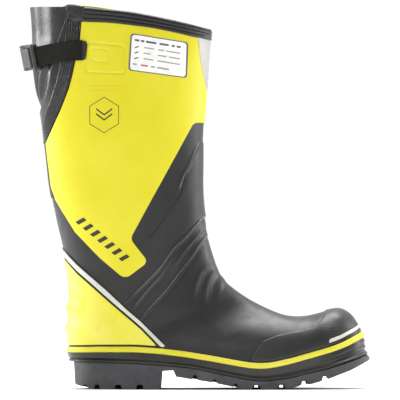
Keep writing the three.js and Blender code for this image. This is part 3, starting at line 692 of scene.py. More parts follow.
def yellow_rubber(name, base, pale, edge=True):
    """Signal-yellow rubber sheet: pale patches where it was handled, and a dark line at its edges that is part
    glue and part painted shade.
    """
    m = material(name)
    handled = m.span(m.noise(4, 5, 0.7), 0.25, 0.7, 0.5)
    m.colour(m.maths("MULTIPLY", m.span(m.noise(60), 0.42, 0.72), handled), base, pale)
    m.colour(m.span(m.noise(2.2, 6, 0.75), 0.66, 0.8, 0.0, 0.16), (180, 162, 14))
    # a dark line along the sheet's edges: part glue, part painted shade where the edge meets the rubber under
    # it
    if edge:
        m.colour(m.span(m.attribute("edge"), 0.25, 0.75, 1.0, 0.0), (44, 42, 22))
    m.roughness(m.noise(11, 4), 0.38, 0.52)
    m.relief(m.noise(0.9, 3, 0.6), 0.03)
    m.relief(m.noise(12), 0.16)
    return m


def reflective(name, base):
    """Silver reflective film: tiny beads that give a fine sparkle."""
    m = material(name)
    beads = m.node("TexVoronoi", {"Scale": 1 / (0.35 * MM), "Vector": m.place}).outputs["Distance"]
    m.colour(m.span(beads, 0.1, 0.6), [value + 22 for value in base], base)
    m.colour(m.span(m.noise(9, 5, 0.65), 0.5, 0.8, 0.0, 0.35), (168, 166, 156))
    m.roughness(m.noise(3, 4), 0.32, 0.5)
    m.relief(beads, 0.02)
    m.set("Metallic", 0.25)
    return m


def webbing():
    """Woven strap: twill ribs along it and weft across, from each point's place on the strap."""
    m = material("webbing")
    along, across = m.attribute("along"), m.attribute("across")
    warp = m.maths("SINE", m.maths("MULTIPLY", across, 2 * math.pi / 0.9))
    slant = m.maths("ADD", m.maths("MULTIPLY", along, 2 * math.pi / 0.75), m.maths("MULTIPLY", across, 3.5))
    weave = m.maths("MULTIPLY", m.maths("ADD", warp, 1.2), m.maths("ADD", m.maths("SINE", slant), 1.2))
    tone = m.maths("ADD", m.span(weave, 0, 4.8, 0.0, 0.75), m.span(m.noise(3, 5, 0.7), 0.3, 0.8, 0.0, 0.3))
    m.colour(tone, (12, 12, 10), (40, 38, 34))
    m.roughness(m.noise(1.5), 0.75, 0.95)
    m.relief(weave, 0.07)
    m.relief(m.noise(0.25, 3, 0.7), 0.04)
    m.set("Specular IOR Level", 0.25)
    return m


def fibrous(name, noise, half, dark, light, rough, depth):
    """A material whose colour, roughness and relief all follow one noise."""
    m = material(name)
    fibres = m.noise(*noise)
    m.colour(m.span(fibres, 0.5 - half, 0.5 + half), dark, light)
    m.roughness(fibres, *rough)
    m.relief(fibres, depth)
    return m


def knit():
    """Knitted lining: rows of small loops."""
    m = material("lining_knit")
    loops = m.maths("MULTIPLY", m.wave(1.3, "Z"), m.wave(1.1, "DIAGONAL"))
    tone = m.maths("ADD", m.span(loops, 0, 1, 0.0, 0.7), m.span(m.noise(5, 5, 0.7), 0.3, 0.8, 0.0, 0.3))
    m.colour(tone, (30, 31, 33), (74, 77, 80))
    m.roughness(m.noise(2), 0.82, 0.98)
    m.relief(loops, 0.12)
    m.relief(m.noise(0.4, 4, 0.7), 0.05)
    m.set("Sheen Weight", 0.3)
    return m


def footbed_cover():
    m = material("footbed_cover")
    fibres = m.noise(0.8, 5, 0.75)
    trodden = m.maths("MULTIPLY", m.span(fibres, 0.25, 0.75), m.span(m.noise(30), 0.3, 0.7, 0.5))
    m.colour(trodden, (44, 50, 56), (86, 96, 104))
    m.roughness(fibres, 0.85, 0.98)
    m.relief(fibres, 0.12)
    return m


BLACK = black_rubber("black_rubber", (20, 20, 19), (34, 34, 33), 0.42)
GUSSET_BLACK = black_rubber("gusset_rubber", (28, 28, 31), (50, 50, 54), 0.27)
BINDING_BLACK = black_rubber("binding_rubber", (19, 19, 20), (34, 34, 36), 0.27)
BAND_BLACK = black_rubber("band_rubber", (24, 23, 21), (42, 40, 36), 0.38)
LEG_BLACK = leg_rubber()
YELLOW = yellow_rubber("yellow_rubber", (216, 205, 4), (224, 215, 44))
HEEL_YELLOW = yellow_rubber("heel_yellow", (226, 217, 52), (238, 231, 128))
STRIPE_YELLOW = yellow_rubber("stripe_yellow", (216, 206, 30), (224, 216, 78), edge=False)
SOLE_GREY = plain("sole_rubber", (0.35, 0.7, 18, 5, 0.6), (56, 56, 60), (74, 74, 77), (0.5, 0.68, 5, 4),
                  (0.05, 0.5, 3, 0.7), (0.1, 7, 2))
LABEL_WHITE = plain("label_skin", (0.4, 0.75, 8, 5, 0.6), (243, 243, 242), (226, 226, 222), (0.36, 0.48, 6),
                    (0.05, 5, 2))
PLASTIC = plain("buckle_plastic", (0.3, 0.85, 5, 6, 0.6), (54, 54, 52), (82, 82, 79), (0.33, 0.5, 4, 4),
                (0.015, 0.4))
SILVER = reflective("silver_film", (204, 203, 194))
WEBBING = webbing()
STEEL = fibrous("steel", (0.6, 3, 0.6, (1, 12, 1)), 0.2, (150, 152, 154), (184, 186, 188), (0.28, 0.42),
                0.008)
STEEL.set("Metallic", 1.0)
FELT = fibrous("felt", (0.7, 6, 0.8, (1, 1, 2.5)), 0.25, (92, 88, 80), (146, 141, 130), (0.88, 1.0), 0.2)
INK = print_ink("dark_ink", 40, 39, 26)
LABEL_INK = print_ink("label_ink", 92, 92, 94)


# ---- shells and inner layers
def layer(name, node, outer, inner, look, slot, *limits, thin=1, top=0.0, creased=False):
    """A layer of the whole boot between two heights over the form, open at the rim and at the leg's back."""
    patch = Patch(thin).closed()
    reach = np.minimum(under(RIM, patch, top), -outline_distance(OPEN_BACK, patch))
    for limit in limits:
        reach = np.minimum(reach, limit(patch))
    patch.trim(reach)
    if creased:
        patch.crease()
    finish_piece(sheet_solid(name, patch, outer, inner, look), slot, node)


def above_seam(patch):
    return patch.z - np.interp(patch.x, *np.array([(-FAR, 134), *FOOT_SEAM, (FAR, 154)]).T)


def shells():
    layer("leg_rubber", "leg_shell", 0, -RUBBER, LEG_BLACK, "black_rubber",
          above_seam, top=-0.8, creased=True)
    layer("foot_rubber", "foot_shell", 0, -RUBBER, LEG_BLACK, "black_rubber",
          lambda patch: -above_seam(patch), creased=True)


def inner_layers():
    layer("insulation_felt", "insulation", -2.8, -4.2, FELT, "felt",
          lambda patch: 118.5 - patch.x, thin=3, top=-4)
    layer("lining_knit", "lining", -4.9, -6.5, knit(), "lining_fabric", thin=3, top=-2)
    layer("toe_cap_plate", "toe_cap", -2.8, -4.2, STEEL, "steel",
          lambda patch: patch.x - 119, lambda patch: patch.z - 30, thin=2)


CREASES = ((-38, -1.8), (-28, 1.9), (-17, -2.6), (-6, 1.7), (5, -2.6), (17, 1.8), (29, -2.2))  # place, height


def gusset():
    """The soft rubber behind the leg's top: flutes over the strap, and folds drawn together under it."""
    patch = Patch()
    patch.keep(outline_distance(OPEN_BACK, patch) + 8).finer()
    patch.trim(np.minimum(outline_distance(OPEN_BACK, patch) + 4, under(RIM, patch)))
    y, z = patch.y, patch.z
    inside = smooth(outline_distance(OPEN_BACK, patch), 0, 9)
    flutes = 1.3 * np.cos(y / 6.8 + 0.9) + 0.35 * np.cos(y / 2.9 + z / 50)
    fan = np.clip((z - 262) / 58, 0, 1)
    creases = sum(height * smooth(fan, 0, 0.6) * bump(y, at * fan, 2.4 + 2 * fan) for at, height in CREASES)
    shake = 0.3 * np.sin(z / 7.5 + y / 4.3) * np.sin(z / 11 - y / 7)
    drawn = 1 - smooth(z, 318, 336)
    height = -0.6 + inside * (smooth(z, 335, 352) * (flutes - 1) + drawn * (creases + shake - 0.8))
    piece = sheet_solid("gusset_sheet", patch, height, height - 1.5, GUSSET_BLACK)
    finish_piece(piece, "black_rubber", "gusset")


# ---- panels
RIB = 2.8  # between the ribs of the gusset's binding
TAB_RIB = 4.4


def from_yellow(patch):
    return -outline_distance(YELLOW_LEG, patch)


def binding_ribs(patch):
    """Ribs along the binding, next to the yellow panel, that flatten towards the gusset."""
    along = from_yellow(patch)
    ribs = 0.5 * np.cos(2 * math.pi * (along - 0.6) / RIB) - 0.2
    return ribs * (1 - smooth(along, 13, 17)) * smooth(along, 0, 0.8)


def kick_ribs(patch):
    """Two blunt ribs round the heel, high behind it and low on its sides."""
    out = 0
    for low, high, end in ((56, 66, -86), (77.5, 87, -104)):
        across = smooth(patch.z, low - 1.6, low + 1.2) * (1 - smooth(patch.z, high - 5, high + 1.6))
        height = 0.8 + 1.3 * (1 - smooth(patch.x, -122, -112))
        out = out + across * height * (1 - smooth(patch.x, end - 6, end))
    return out


def grip(patch):
    """1 on the ridged patch of the toe."""
    x, z = patch.x, patch.z
    return smooth(x, 130, 134) * (1 - smooth(x, 152, 160)) * smooth(z, 49, 52) * (1 - smooth(z, 63, 68))


def tab_fold(patch):
    """The collar tab's upright fold, and the three ribs of the band that show through it."""
    ribs = 0.35 * np.cos((patch.z - 382) * 2 * math.pi / TAB_RIB)
    return 0.9 * bump(patch.x, -119.5, 1.3) - 0.6 * bump(patch.x, -116.8, 1.2) + ribs


POCKET = rounded([(-103.5, 345, 4), (-65.5, 341.5, 5), (-64.8, 314, 4), (-104.5, 315.5, 3)])
POCKET_INNER = rounded([(-99, 339, 3), (-81, 338, 4), (-80.5, 325.5, 3), (-99, 326.5, 3)])


def from_groove(outline):
    """The distance from a groove along an outline on the outer side."""
    return lambda patch: np.where(patch.y < 0, outline_distance(outline, patch), -99)


def yellow_leg():
    grooves = ((from_groove(POCKET), 0.8), (from_groove(POCKET_INNER), 0.5))
    panel("yellow_leg_sheet", YELLOW_LEG, YELLOW, "yellow_rubber", "leg_panel",
          shape=lambda patch: -sum(depth * bump(measure(patch), 0, 0.9) for measure, depth in grooves),
          cuts=[(measure, (-1.6, -0.8, 0, 0.8, 1.6)) for measure, _ in grooves])


def heel():
    bed = [*raised(STRIPE_UPPER, 1.9), *reversed(raised(STRIPE_LOWER, -2))]
    panel("heel_stripe_bed", bed, BLACK, "black_rubber", "heel_stripe_backing", thick=0.9)
    panel("heel_silver", [*STRIPE_UPPER, *reversed(STRIPE_LOWER)], SILVER, "reflective_silver", "heel_stripe",
          start=0.9, thick=FILM, radius=0.3)
    panel("heel_sheet", [*raised(STRIPE_LOWER, -2.3), (-32, 20), (-170, 20)], HEEL_YELLOW, "yellow_rubber",
          "heel_patch", shape=kick_ribs, over=1.5)


def toe():
    panel("toe_bumper_sheet", BUMPER, toe_rubber(), "black_rubber", "toe_bumper",
          thick=0.9, radius=2.6, over=0.8, attributes={"grip": grip})
    panel("toe_silver", TOE_STRIP, SILVER, "reflective_silver", "toe_stripe",
          start=0.9, thick=0.5, radius=0.4)


def trims():
    panel("shin_sheet", SHIN_GUARD, LEG_BLACK, "black_rubber", "shin_guard", thick=0.7, radius=1.4)
    warm_silver = reflective("warm_silver_film", (176, 175, 168))
    panel("front_silver", FRONT_REFLECTOR, warm_silver, "reflective_silver", "front_reflector",
          start=OVERLAY, thick=FILM, radius=0.4)
    panel("binding_sheet", GUSSET_BINDING, BINDING_BLACK, "black_rubber", "gusset_binding", thick=1.7,
          shape=binding_ribs, cuts=[(from_yellow, np.arange(0.6, 16, RIB / 4))])
    panel("back_stay_sheet", BACK_STAY, LEG_BLACK, "black_rubber", "back_stay")
    for side, rise, name in ((-1, 0, "outer"), (1, INNER_RISE, "inner")):
        panel(f"anchor_{name}_patch", raised(ANCHOR_PATCH, rise), BLACK, "black_rubber", f"anchor_{name}",
              start=OVERLAY, thick=2.2, radius=1.2, side=side)


# ---- label and marks
LABEL_TOP_LEFT = Vector((-59.9, 354.1))
LABEL_ALONG = (Vector((-3.5, 345.4)) - LABEL_TOP_LEFT).normalized()
LABEL_DOWN = Vector((-2.3, -36.6)).normalized()


def bar(down, start, end, height, drop=0):
    """A bar's corners on the label, in millimetres from its top rear corner; drop lowers its start."""
    corners = ((start, down + drop), (end, down), (end, down + height), (start, down + drop + height))
    return [tuple(LABEL_TOP_LEFT + LABEL_ALONG * a + LABEL_DOWN * b) for a, b in corners]


def printed(name, outlines, look, height, slot, finer=2):
    """Thin print on the outer side of the boot: several outlines as one piece."""
    patch = Patch()
    points = np.concatenate(outlines)
    low, high = points.min(0) - 4, points.max(0) + 4
    x, y, z = patch.point.T
    near = (x > low[0]) & (x < high[0]) & (z > low[1]) & (z < high[1]) & (y < 0)
    patch.keep(np.where(near, 1.0, -9.0)).finer(finer)
    patch.trim(np.max([outline_distance(outline, patch) for outline in outlines], 0))
    finish_piece(sheet_solid(name, patch, height + 0.12, height - 0.1, look), slot)


def ring_outline(outline, width):
    """The band just inside an outline, as one outline that runs out and back."""
    centre = np.mean(outline, 0)
    inner = [tuple(centre + spoke - unit(spoke) * width) for spoke in np.array(outline) - centre]
    return [*outline, outline[0], inner[0], *reversed(inner)]


def label():
    panel("label_plate", LABEL, LABEL_WHITE, "label_skin", "label", start=OVERLAY, thick=FILM, radius=0.35,
          side=-1, finer=1)
    heading = ((4.5, 9), (10.5, 14), (15.5, 26), (29, 38), (41, 44), (46, 50))
    rows = (((14, 24), (28, 34), (36, 50)), ((14, 21), (28, 37), (39, 50)), ((14, 24), (28, 50)))
    bars = [bar(11.5 + 5.5 * k, a, b, 1.2) for k, row in enumerate(rows) for a, b in row]
    bars += [bar(29, a, b, 1.6) for a, b in ((4, 8), (22, 26), (28, 40))]
    ticks = [bar(down, 5, 9, 1.3, drop=2) for down in (11, 16.5, 22)]
    for name, outlines, ink in (
        ("label_border", [ring_outline(LABEL, 1.7)], LABEL_INK),
        ("label_heading", [bar(5, a, b, 2) for a, b in heading], LABEL_INK),
        ("label_rows", bars, print_ink("pale_ink", 150, 150, 150)),
        ("label_ticks", ticks, LABEL_INK),
        ("label_red_bar", [bar(29, 12, 19, 1.6)], print_ink("red_ink", 190, 84, 76)),
    ):
        printed(name, outlines, ink, OVERLAY + FILM, "label_skin")


MARK_START = Vector((-111.5, 170))  # middle of the row of slanted bars on the yellow sheet's foot
MARK_RUN = Vector((49.5, -42.5))
MARK_HEIGHT = 8.6
MARK_BARS = 7
HEXAGON = [(-100.5, 282), (-86, 291), (-71.5, 282), (-71.5, 264), (-86, 255), (-100.5, 264)]
CHEVRON = [(-94, 280), (-86, 274), (-78, 280), (-78, 278.3), (-86, 272.3), (-94, 278.3)]
DASH_ROWS = ((302.5, range(-103, -72, 5)), (297.8, range(-100, -76, 5)))


def marks():
    """Plain print on the yellow sheet: a row of slanted bars, a hexagon with chevrons, two rows of dashes."""
    along = MARK_RUN.normalized()
    across = Vector((-along.y, along.x)) * MARK_HEIGHT
    pitch = MARK_RUN.length / MARK_BARS
    bars = []
    for k in range(MARK_BARS):
        foot = MARK_START + along * (pitch * k) - across / 2
        head = foot + across + along * 3
        wide = along * (pitch * 0.45)
        bars.append([foot, foot + wide, head + wide, head])
    printed("slanted_bars", bars, INK, OVERLAY, "black_rubber")
    hexagon = [ring_outline(HEXAGON, 0.7), CHEVRON, raised(CHEVRON, -5)]
    printed("hexagon_mark", hexagon, INK, OVERLAY, "black_rubber", finer=3)
    dash = np.array([(0, 0), (3.4, 0.1), (3.4, -0.9), (0, -1)])
    dashes = [dash + [x, z] for z, places in DASH_ROWS for x in places]
    faint = print_ink("faint_ink", 206, 192, 40)
    printed("faint_dashes", dashes, faint, OVERLAY, "yellow_rubber", finer=3)


# ---- collar
COLLAR_TAB = rounded([(-124.5, 385, 2), (-105.6, 382, 2), (-106.2, 365.5, 1.5), (-121.5, 367.5, 1.5)])


def trace(level):
    """Where the form's columns cross the side-view line level(x), from the top down: points and normals."""
    over = FORM[:, :, 2] - level(FORM[:, :, 0])
    first = (over <= 0).argmax(0)
    each = np.arange(FORM.shape[1])
    before, after = over[first - 1, each], over[first, each]
    share = (before / (before - after))[:, None]
    point = FORM[first - 1, each] + (FORM[first, each] - FORM[first - 1, each]) * share
    return point, NORMALS[first - 1, each]


def collar_height(share):
    """The points and normals round the collar at a share of its height."""

    def level(x):
        foot, top = height_at(COLLAR_FOOT, x, 6), height_at(RIM[3:], x, 6)
        return foot + (top - 2 - foot) * share

    return trace(level)


def collar():
    """The ribbed band, folded over the shell's rim from one side of the gusset to the other, bead, tabs."""
    point, normal = collar_height(1)
    ahead = point[:, 0] > -119
    order = np.roll(np.arange(len(ahead)), -int(ahead.argmin()))
    order = order[ahead[order]]

    def row(share, out, up):
        at, way = collar_height(share)
        return (at + way * out + [0, 0, up])[order]

    turns = np.linspace(0, math.pi, 9)[:-1]
    rows = [row(1, -3.1 + 2.6 * (1 - math.cos(a)), 2.3 * math.sin(a)) for a in turns]
    rows += [row(v, 1.1 + 1.1 * abs(math.sin(3 * math.pi * v)) ** 0.5, 0) for v in np.linspace(1, 0, 34)[:-1]]
    rows += [row(0, 1.0, 0), row(0, -0.3, 0), row(1, -0.3, -3), row(1, -3.1, -3)]
    piece = swept("collar_band_ribbed", columns(rows), BLACK, sharp=50, close=False)
    finish_piece(piece, "black_rubber", "collar_band")
    up = np.array([0, 0, 1])
    rise = 1.6 + 1.5 * (1 - smooth(point[:, :1], -104, -62))
    turns = np.arange(8) * math.pi / 4
    bead = [point + normal * (0.7 * math.cos(a) - 3.6) + up * (rise + 0.7 * math.sin(a)) for a in turns]
    finish_piece(swept("rim_bead", columns(bead)[order], STRIPE_YELLOW, close=False), "yellow_rubber")
    for side, name in ((-1, "outer"), (1, "inner")):
        panel(f"collar_tab_{name}", COLLAR_TAB, GUSSET_BLACK, "black_rubber",
              start=1.3, thick=1.6, radius=1.2, side=side, shape=tab_fold, top=0.9, depth=4.6)


# ---- outlines in plan
TREE = BVHTree.FromPolygons(FORM.reshape(-1, 3).tolist(), Patch().quads.tolist())
HEEL_CENTRE = Vector((-78, 0))
TOE_CENTRE = Vector((124, 4))
FIRST_GUESS = 45  # from the centre line to the outline
PLAN_POINTS = 420
PLAN_SOFTEN = 5  # points each way that an outline is averaged over


def hit_from_outside(start, out):
    return TREE.ray_cast(start + out * FAR, -out)[0]


def plan_outline(line, rise):
    """The form's outline in plan, along a line of the side view: even points and their outward normals."""
    right = math.pi / 2
    spokes, found = [], []
    for start, end, angle in ((HEEL_CENTRE, TOE_CENTRE, -right), (TOE_CENTRE, HEEL_CENTRE, right)):
        spokes += [(start.lerp(end, k / 50), angle) for k in range(50)]
        spokes += [(end, angle + math.pi * k / 60) for k in range(60)]
    for centre, angle in spokes:
        out = Vector((math.cos(angle), math.sin(angle), 0))
        point = centre.to_3d() + out * FIRST_GUESS
        for _ in range(4):
            height = float(height_at(line, point.x)) + rise
            point = hit_from_outside(Vector((*centre, height)), out) or point
        found.append(point[:2])
    loop = np.array([*found, found[0]])
    run = run_length(loop)
    at = np.linspace(0, run[-1], PLAN_POINTS, endpoint=False)
    even = np.column_stack([np.interp(at, run, loop[:, k]) for k in (0, 1)])
    even = sum(np.roll(even, k, 0) for k in range(-PLAN_SOFTEN, PLAN_SOFTEN + 1)) / (2 * PLAN_SOFTEN + 1)
    forward = np.roll(even, -1, 0) - np.roll(even, 1, 0)
    return even, unit(np.column_stack([forward[:, 1], -forward[:, 0]]))


SOLE_PLAN, SOLE_NORMAL = plan_outline(SOLE_TOP, 5)
STRIPE_PLAN, STRIPE_NORMAL = plan_outline(STRIPE_TOP, -STRIPE_HEIGHT / 2)


def foxing(name, node, plan, lean, normal, foot, top, profile, look, slot):
    """A strip round the boot; its profile says, for each share of its height, how far out it stands."""
    rings = [
        np.column_stack([plan + lean * v + normal * np.reshape(out, (-1, 1)), foot + (top - foot) * v])
        for v, out in profile
    ]
    finish_piece(swept(name, columns(rings), look, sharp=50), slot, node)


def foxing_stripe():
    """The yellow stripe round the foot, with a softly rounded face."""
    top = height_at(STRIPE_TOP, STRIPE_PLAN[:, 0])
    proud = 2.6 - 0.7 * smooth(STRIPE_PLAN[:, 0], 120, 170)
    face = ((0, 0.4), (0.06, 0.85), (0.18, 1), (0.5, 1.05), (0.82, 1), (0.94, 0.85), (1, 0.4))
    profile = [(0, -5), *((v, proud * out) for v, out in face), (1, -5)]
    foxing("foxing_stripe_yellow", "foxing_stripe", STRIPE_PLAN, 0, STRIPE_NORMAL, top - STRIPE_HEIGHT, top,
           profile, STRIPE_YELLOW, "yellow_rubber")


def foxing_band():
    """The black band over the sole: a bead along its foot, a flat face, and ribs round the toe."""
    x = SOLE_PLAN[:, 0]
    foot, top = height_at(SOLE_TOP, x) + 0.1, height_at(STRIPE_TOP, x) - STRIPE_HEIGHT
    profile = [(0, -5)]
    for v in np.linspace(0, 1, 25):
        bead = 1.1 * bump(v, 0.12, 0.11) - 0.9 * bump(v, 0.34, 0.07)
        ribs = 0.55 * smooth(x, 135, 160) * math.cos(2 * math.pi * (v - 0.15) * 3.2)
        ends = 1 - 0.9 * (max(0, 0.04 - v) / 0.04) ** 2
        profile.append((v, (2.2 - 0.6 * smooth(x, 120, 170) + bead + ribs) * ends))
    profile.append((1, -5))
    foxing("foxing_band_ribbed", "foxing_band", SOLE_PLAN, STRIPE_PLAN - SOLE_PLAN, SOLE_NORMAL, foot, top,
           profile, BAND_BLACK, "black_rubber")


# ---- sole
# Grooves across the lugs at each side: x, half the mouth's width, depth.
SIDE_GROOVES = [
    (-105.5, 2.2, 2.4), (-93.5, 3, 4.4), (-72.5, 4, 4.6), (-51, 4, 4.8), (4, 3, 4.6), (23.5, 2.6, 3.4),
    (44.5, 2.6, 3.8), (65, 5, 4.3), (90, 4.6, 4.5), (112.5, 4.6, 4.2), (133.5, 3.2, 3.6),
]
MIDDLE_GROOVES = [-83, -62, 14, 34, 65, 90, 112.5, 133.5]
CHANNEL = (15, 18.5)  # from and to, in y, along both sides of the sole
CHANNEL_DEPTH = 3.4


def prism(outline, low, high, across=True):
    """A closed prism: an outline of the side view drawn across the boot, or one in plan drawn upwards."""
    points = [(a, h, b) if across else (a, b, h) for h in (low, high) for a, b in outline]
    count = len(outline)
    faces = [[*range(count)], [*range(2 * count - 1, count - 1, -1)]]
    faces += [[k, k + count, (k + 1) % count + count, (k + 1) % count] for k in range(count)]
    return mesh_piece("outsole_lugged", points, faces, SOLE_GREY)


def combined(target, tools, operation):
    """Cuts target by the tools, which don't touch each other, or keeps what is in them, and removes them."""
    work = bmesh.new()
    for tool in tools:
        work.from_mesh(tool.data)
        bpy.data.objects.remove(tool)
    mesh = bpy.data.meshes.new("tools")
    work.to_mesh(mesh)
    work.free()
    tool = shown("tools", mesh, SOLE_GREY)
    modifier = target.modifiers.new("combine", "BOOLEAN")
    modifier.operation, modifier.object, modifier.solver = operation, tool, "EXACT"
    graph = bpy.context.evaluated_depsgraph_get()
    made = bpy.data.meshes.new_from_object(target.evaluated_get(graph), depsgraph=graph)
    target.modifiers.clear()
    target.data = made
    bpy.data.objects.remove(tool)


def groove(x, half, depth, low, high):
    z = float(np.interp(x, *np.array(TREAD).T))
    profile = ((-1, 0), (-1, -6), (1, -6), (1, 0), (0.6, depth), (-0.6, depth))
    return prism([(x + half * share, z + rise) for share, rise in profile], low, high)


def channel(line, side):
    outline = [*raised(line, CHANNEL_DEPTH), (line[-1][0], -60), (line[0][0], -60)]
    return prism(outline, *sorted(side * y for y in CHANNEL))


def bevel(piece, width, angle):
    edge = piece.modifiers.new("edge", "BEVEL")
    edge.width, edge.segments, edge.limit_method = width * MM, 2, "ANGLE"
    edge.angle_limit = math.radians(angle)
    return edge


def outsole():
    x = SOLE_PLAN[:, 0]
    proud = 0.3 + 2.9 * smooth(x, -100, 0) + 1.9 * smooth(x, 120, 175)
    plan = SOLE_PLAN + SOLE_NORMAL * proud[:, None]
    sole = prism(plan[::2].tolist(), -20, 60, across=False)
    top = [(a, float(height_at(SOLE_TOP, a))) for a in np.arange(176, -115, -4.0)]
    sides = ((-FAR, -CHANNEL[0]), (CHANNEL[0], FAR))
    combined(sole, [prism([*TREAD, *top], -FAR, FAR)], "INTERSECT")
    combined(sole, [groove(*place, *side) for place in SIDE_GROOVES for side in sides], "DIFFERENCE")
    middle = [groove(a, 2.4, CHANNEL_DEPTH, -CHANNEL[1], CHANNEL[1]) for a in MIDDLE_GROOVES]
    combined(sole, middle, "DIFFERENCE")
    channels = [channel(line, y) for line in (HEEL_TREAD[2:], FRONT_TREAD[1:12]) for y in (-1, 1)]
    combined(sole, channels, "DIFFERENCE")
    sole.data.materials.clear()
    sole.data.materials.append(SOLE_GREY.owner)
    shade_smooth(sole.data, 30)
    bevel(sole, 0.45, 40).harden_normals = True
    finish_piece(sole, "sole_rubber", "outsole")


FOOTBED_INSET = 12.5
FOOT_RINGS = RINGS[13:]


def floor(x):
    """The height of the form's underside."""
    return spline(FOOT_RINGS[:, :2], np.interp(x, FOOT_RINGS[:, 0], np.arange(len(FOOT_RINGS))))[:, 1]


def footbed():
    """The loose insole: a flat foam bed with turned-up edges and a cup for the heel."""
    plan = SOLE_PLAN - SOLE_NORMAL * FOOTBED_INSET
    x = plan[:, 0]
    centre = np.column_stack([np.clip(x, -85, 125), np.interp(x, (-85, 20, 125), (0, -1, 4))])
    rings = []
    for share in np.linspace(0, 1, 9):
        point = centre + (plan - centre) * share
        lift = 13.6 + 3.4 * smooth(share, 0.72, 1) * (1 - smooth(point[:, 0], 60, 140))
        rings.append(np.column_stack([point, floor(point[:, 0]) + lift]))
    brim = rings[-1][:, 2]
    for out, down in ((0.8, 0.8), (0.8, 2.8), (-0.6, 4.4)):
        rings.append(np.column_stack([plan + SOLE_NORMAL * out, brim - down]))
    rings.append(np.column_stack([centre, floor(centre[:, 0]) + 8.6]))
    piece = swept("footbed_foam", columns(rings)[:, ::-1], footbed_cover(), sharp=60)
    finish_piece(piece, "footbed_foam", "footbed")


# ---- strap
STRAP_WIDTH = 20
STRAP = 1.6  # thickness
STRAP_LINE = [(-163, 329.4), (-149, 331.5), (-133, 335), (-116, 336.9), (-100.5, 337.4)]
LEG_AXIS = -72  # x of the leg's middle
BEND = 50  # radius of the straps' bend through the buckle
INNER_RISE = 4.5  # of the strap and its anchor on the inner side
SNUG = 2.9  # from the form to a strap's middle
UNDER = -3.7  # from the tail to the inner strap under the buckle


def joint_frame():
    """The buckle's own axes and the middle of its strap, from the frame's two joints."""
    joints = {joint["name"]: joint for joint in frame["joints"]}
    up = -Vector(joints["buckle_lever"]["axis"]).normalized()
    along = UP.cross(up).normalized()
    centre = Vector(joints["strap_tail_slide"]["pos_m"]) / MM + Vector((MIDDLE, 0, 0))
    return along, up, along.cross(up).normalized(), centre


ALONG, ACROSS, OUT, BEND_CENTRE = joint_frame()


def leg_row(degrees, off=SNUG, rise=0):
    """The strap lying on the leg, some degrees round it from straight back to the outer side."""

    def around(turn, z):
        angle = math.radians(degrees + turn)
        return hit_from_outside(Vector((LEG_AXIS, 0, z)), Vector((-math.cos(angle), -math.sin(angle), 0)))

    at = around(0, STRAP_LINE[0][1])
    for _ in range(3):
        at = around(0, float(height_at(STRAP_LINE, at.x)) + rise)
    out = (around(9, at.z) - around(-9, at.z)).cross(UP).normalized()
    return (*(at + out * off), *out, *UP)


def bent_row(degrees, off=0):
    """The strap on its bend through the buckle, some degrees from the buckle's middle to the outer side."""
    angle = math.radians(degrees)
    out = ALONG * math.sin(angle) + OUT * math.cos(angle)
    return (*(BEND_CENTRE + out * (BEND + off)), *out, *ACROSS)


def strap(name, rows, node, body="boot"):
    """A strap through rows of place, outward direction and upward direction, with thicker selvages."""
    half, thick = STRAP_WIDTH / 2, STRAP / 2
    edge = [(half - 0.5 + 0.5 * math.cos(a), 0.8 * thick * math.sin(a)) for a in np.linspace(-1.2, 1.2, 5)]
    face = [(v * half, thick * (1.0 if abs(v) > 0.8 else 0.88)) for v in np.linspace(0.93, -0.93, 15)]
    section = np.array(edge + face + [(-u, -v) for u, v in edge] + [(-u, -v) for u, v in face])
    rows = np.array(rows)
    length = run_length(rows[:, :3])[-1]
    fine = spline(rows, np.linspace(0, len(rows) - 1, max(8, int(length / 1.5))))[:, None]
    rings = fine[..., :3] + unit(fine[..., 6:]) * section[:, :1] + unit(fine[..., 3:6]) * section[:, 1:]
    along = np.repeat(np.linspace(0, length, len(fine)), len(section))
    attributes = {"along": along, "across": np.tile(section[:, 0], len(fine))}
    finish_piece(swept(name, rings, WEBBING, 60, attributes, close=False), "webbing", node, body=body)


def straps():
    outer = [leg_row(a) for a in range(57, 33, -4)] + [leg_row(30, 3.6)] + [bent_row(a) for a in (18, 13, 8)]
    inner = [leg_row(-a, SNUG, INNER_RISE) for a in range(57, 37, -4)] + [leg_row(-34, 3.8, INNER_RISE)]
    inner += [bent_row(a, UNDER) for a in range(-73, -2, 7)]
    strap("outer_webbing", outer, "strap_outer")
    strap("inner_webbing", inner, "strap_inner")
    strap("tail_webbing", [bent_row(a) for a in (7.4, *range(0, -64, -7))], "strap_tail", body="tail")


def cad_parts():
    """The CAD's midsole and buckle stay, in new materials and with the buckle's edges rounded."""
    for node, look in (("buckle_frame", PLASTIC), ("buckle_lever", PLASTIC), ("buckle_pin", STEEL),
                       ("steel_midsole", STEEL)):
        cad = frame["nodes"][node]
        cad.data.materials.clear()
        cad.data.materials.append(look.owner)
        if node.startswith("buckle"):
            bevel(cad, 0.35, 35)


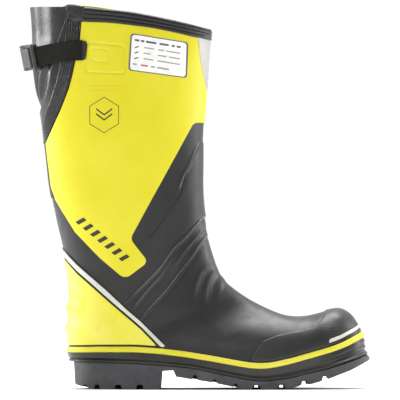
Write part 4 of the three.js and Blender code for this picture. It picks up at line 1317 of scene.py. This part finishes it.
# ---- stage
CAMERA_DISTANCE = 8.0
PICTURE = 0.4  # metres across the picture at the boot
LAMPS = (  # name, place, size, watts
    ("top", (0.25, 0.5, 2.0), 1.5, 54),
    ("left", (-1.8, 0.6, 0.7), 1.0, 27),
    ("right", (1.8, 0.6, 0.7), 1.0, 13),
    ("front", (-0.9, -2.4, 1.8), 1.0, 11),
)


def camera():
    data = bpy.data.cameras.new("camera")
    data.sensor_width = 36
    data.lens = data.sensor_width * CAMERA_DISTANCE / PICTURE
    data.clip_end = 100
    holder = shown("camera", data)
    holder.location = (0.0053, -CAMERA_DISTANCE, 0.1885)
    holder.rotation_euler = (math.pi / 2, 0, 0)
    bpy.context.scene.camera = holder
    bpy.context.scene.view_settings.view_transform = "Standard"


def studio_world():
    """White all round behind the boot, and greyer in front of it."""
    world = Nodes(bpy.data.worlds.new("studio"))
    depth = world.node("SeparateXYZ", {"Vector": world.places["Generated"]}).outputs["Y"]
    world.link(world.span(depth, -0.6, 0.7, 0.6, 1.03), "Background", "Strength")
    world.owner.node_tree.nodes["Background"].inputs["Color"].default_value = (1, 1, 1, 1)
    bpy.context.scene.world = world.owner


def stage():
    mesh = bpy.data.meshes.new("floor")
    work = bmesh.new()
    bmesh.ops.create_circle(work, cap_ends=True, segments=96, radius=1.6)
    work.to_mesh(mesh)
    work.free()
    cover = material("floor")
    cover.colour(cover.span(cover.noise(400, 2), 0.3, 0.7), (243.4, 243.4, 243.4), (245.8, 245.8, 245.8))
    cover.set("Roughness", 0.9)
    shown("floor", mesh, cover)
    studio_world()
    for name, place, size, power in LAMPS:
        lamp = bpy.data.lights.new(name, "AREA")
        lamp.size, lamp.energy = size, power
        holder = shown(name, lamp)
        holder.location = place
        holder.rotation_euler = (Vector((0, 0, 0.15)) - Vector(place)).to_track_quat("-Z", "Y").to_euler()


for build in (camera, stage, shells, inner_layers, gusset, yellow_leg, heel, toe, trims, label, marks, collar,
              foxing_stripe, foxing_band, outsole, footbed, straps, cad_parts):
    build()
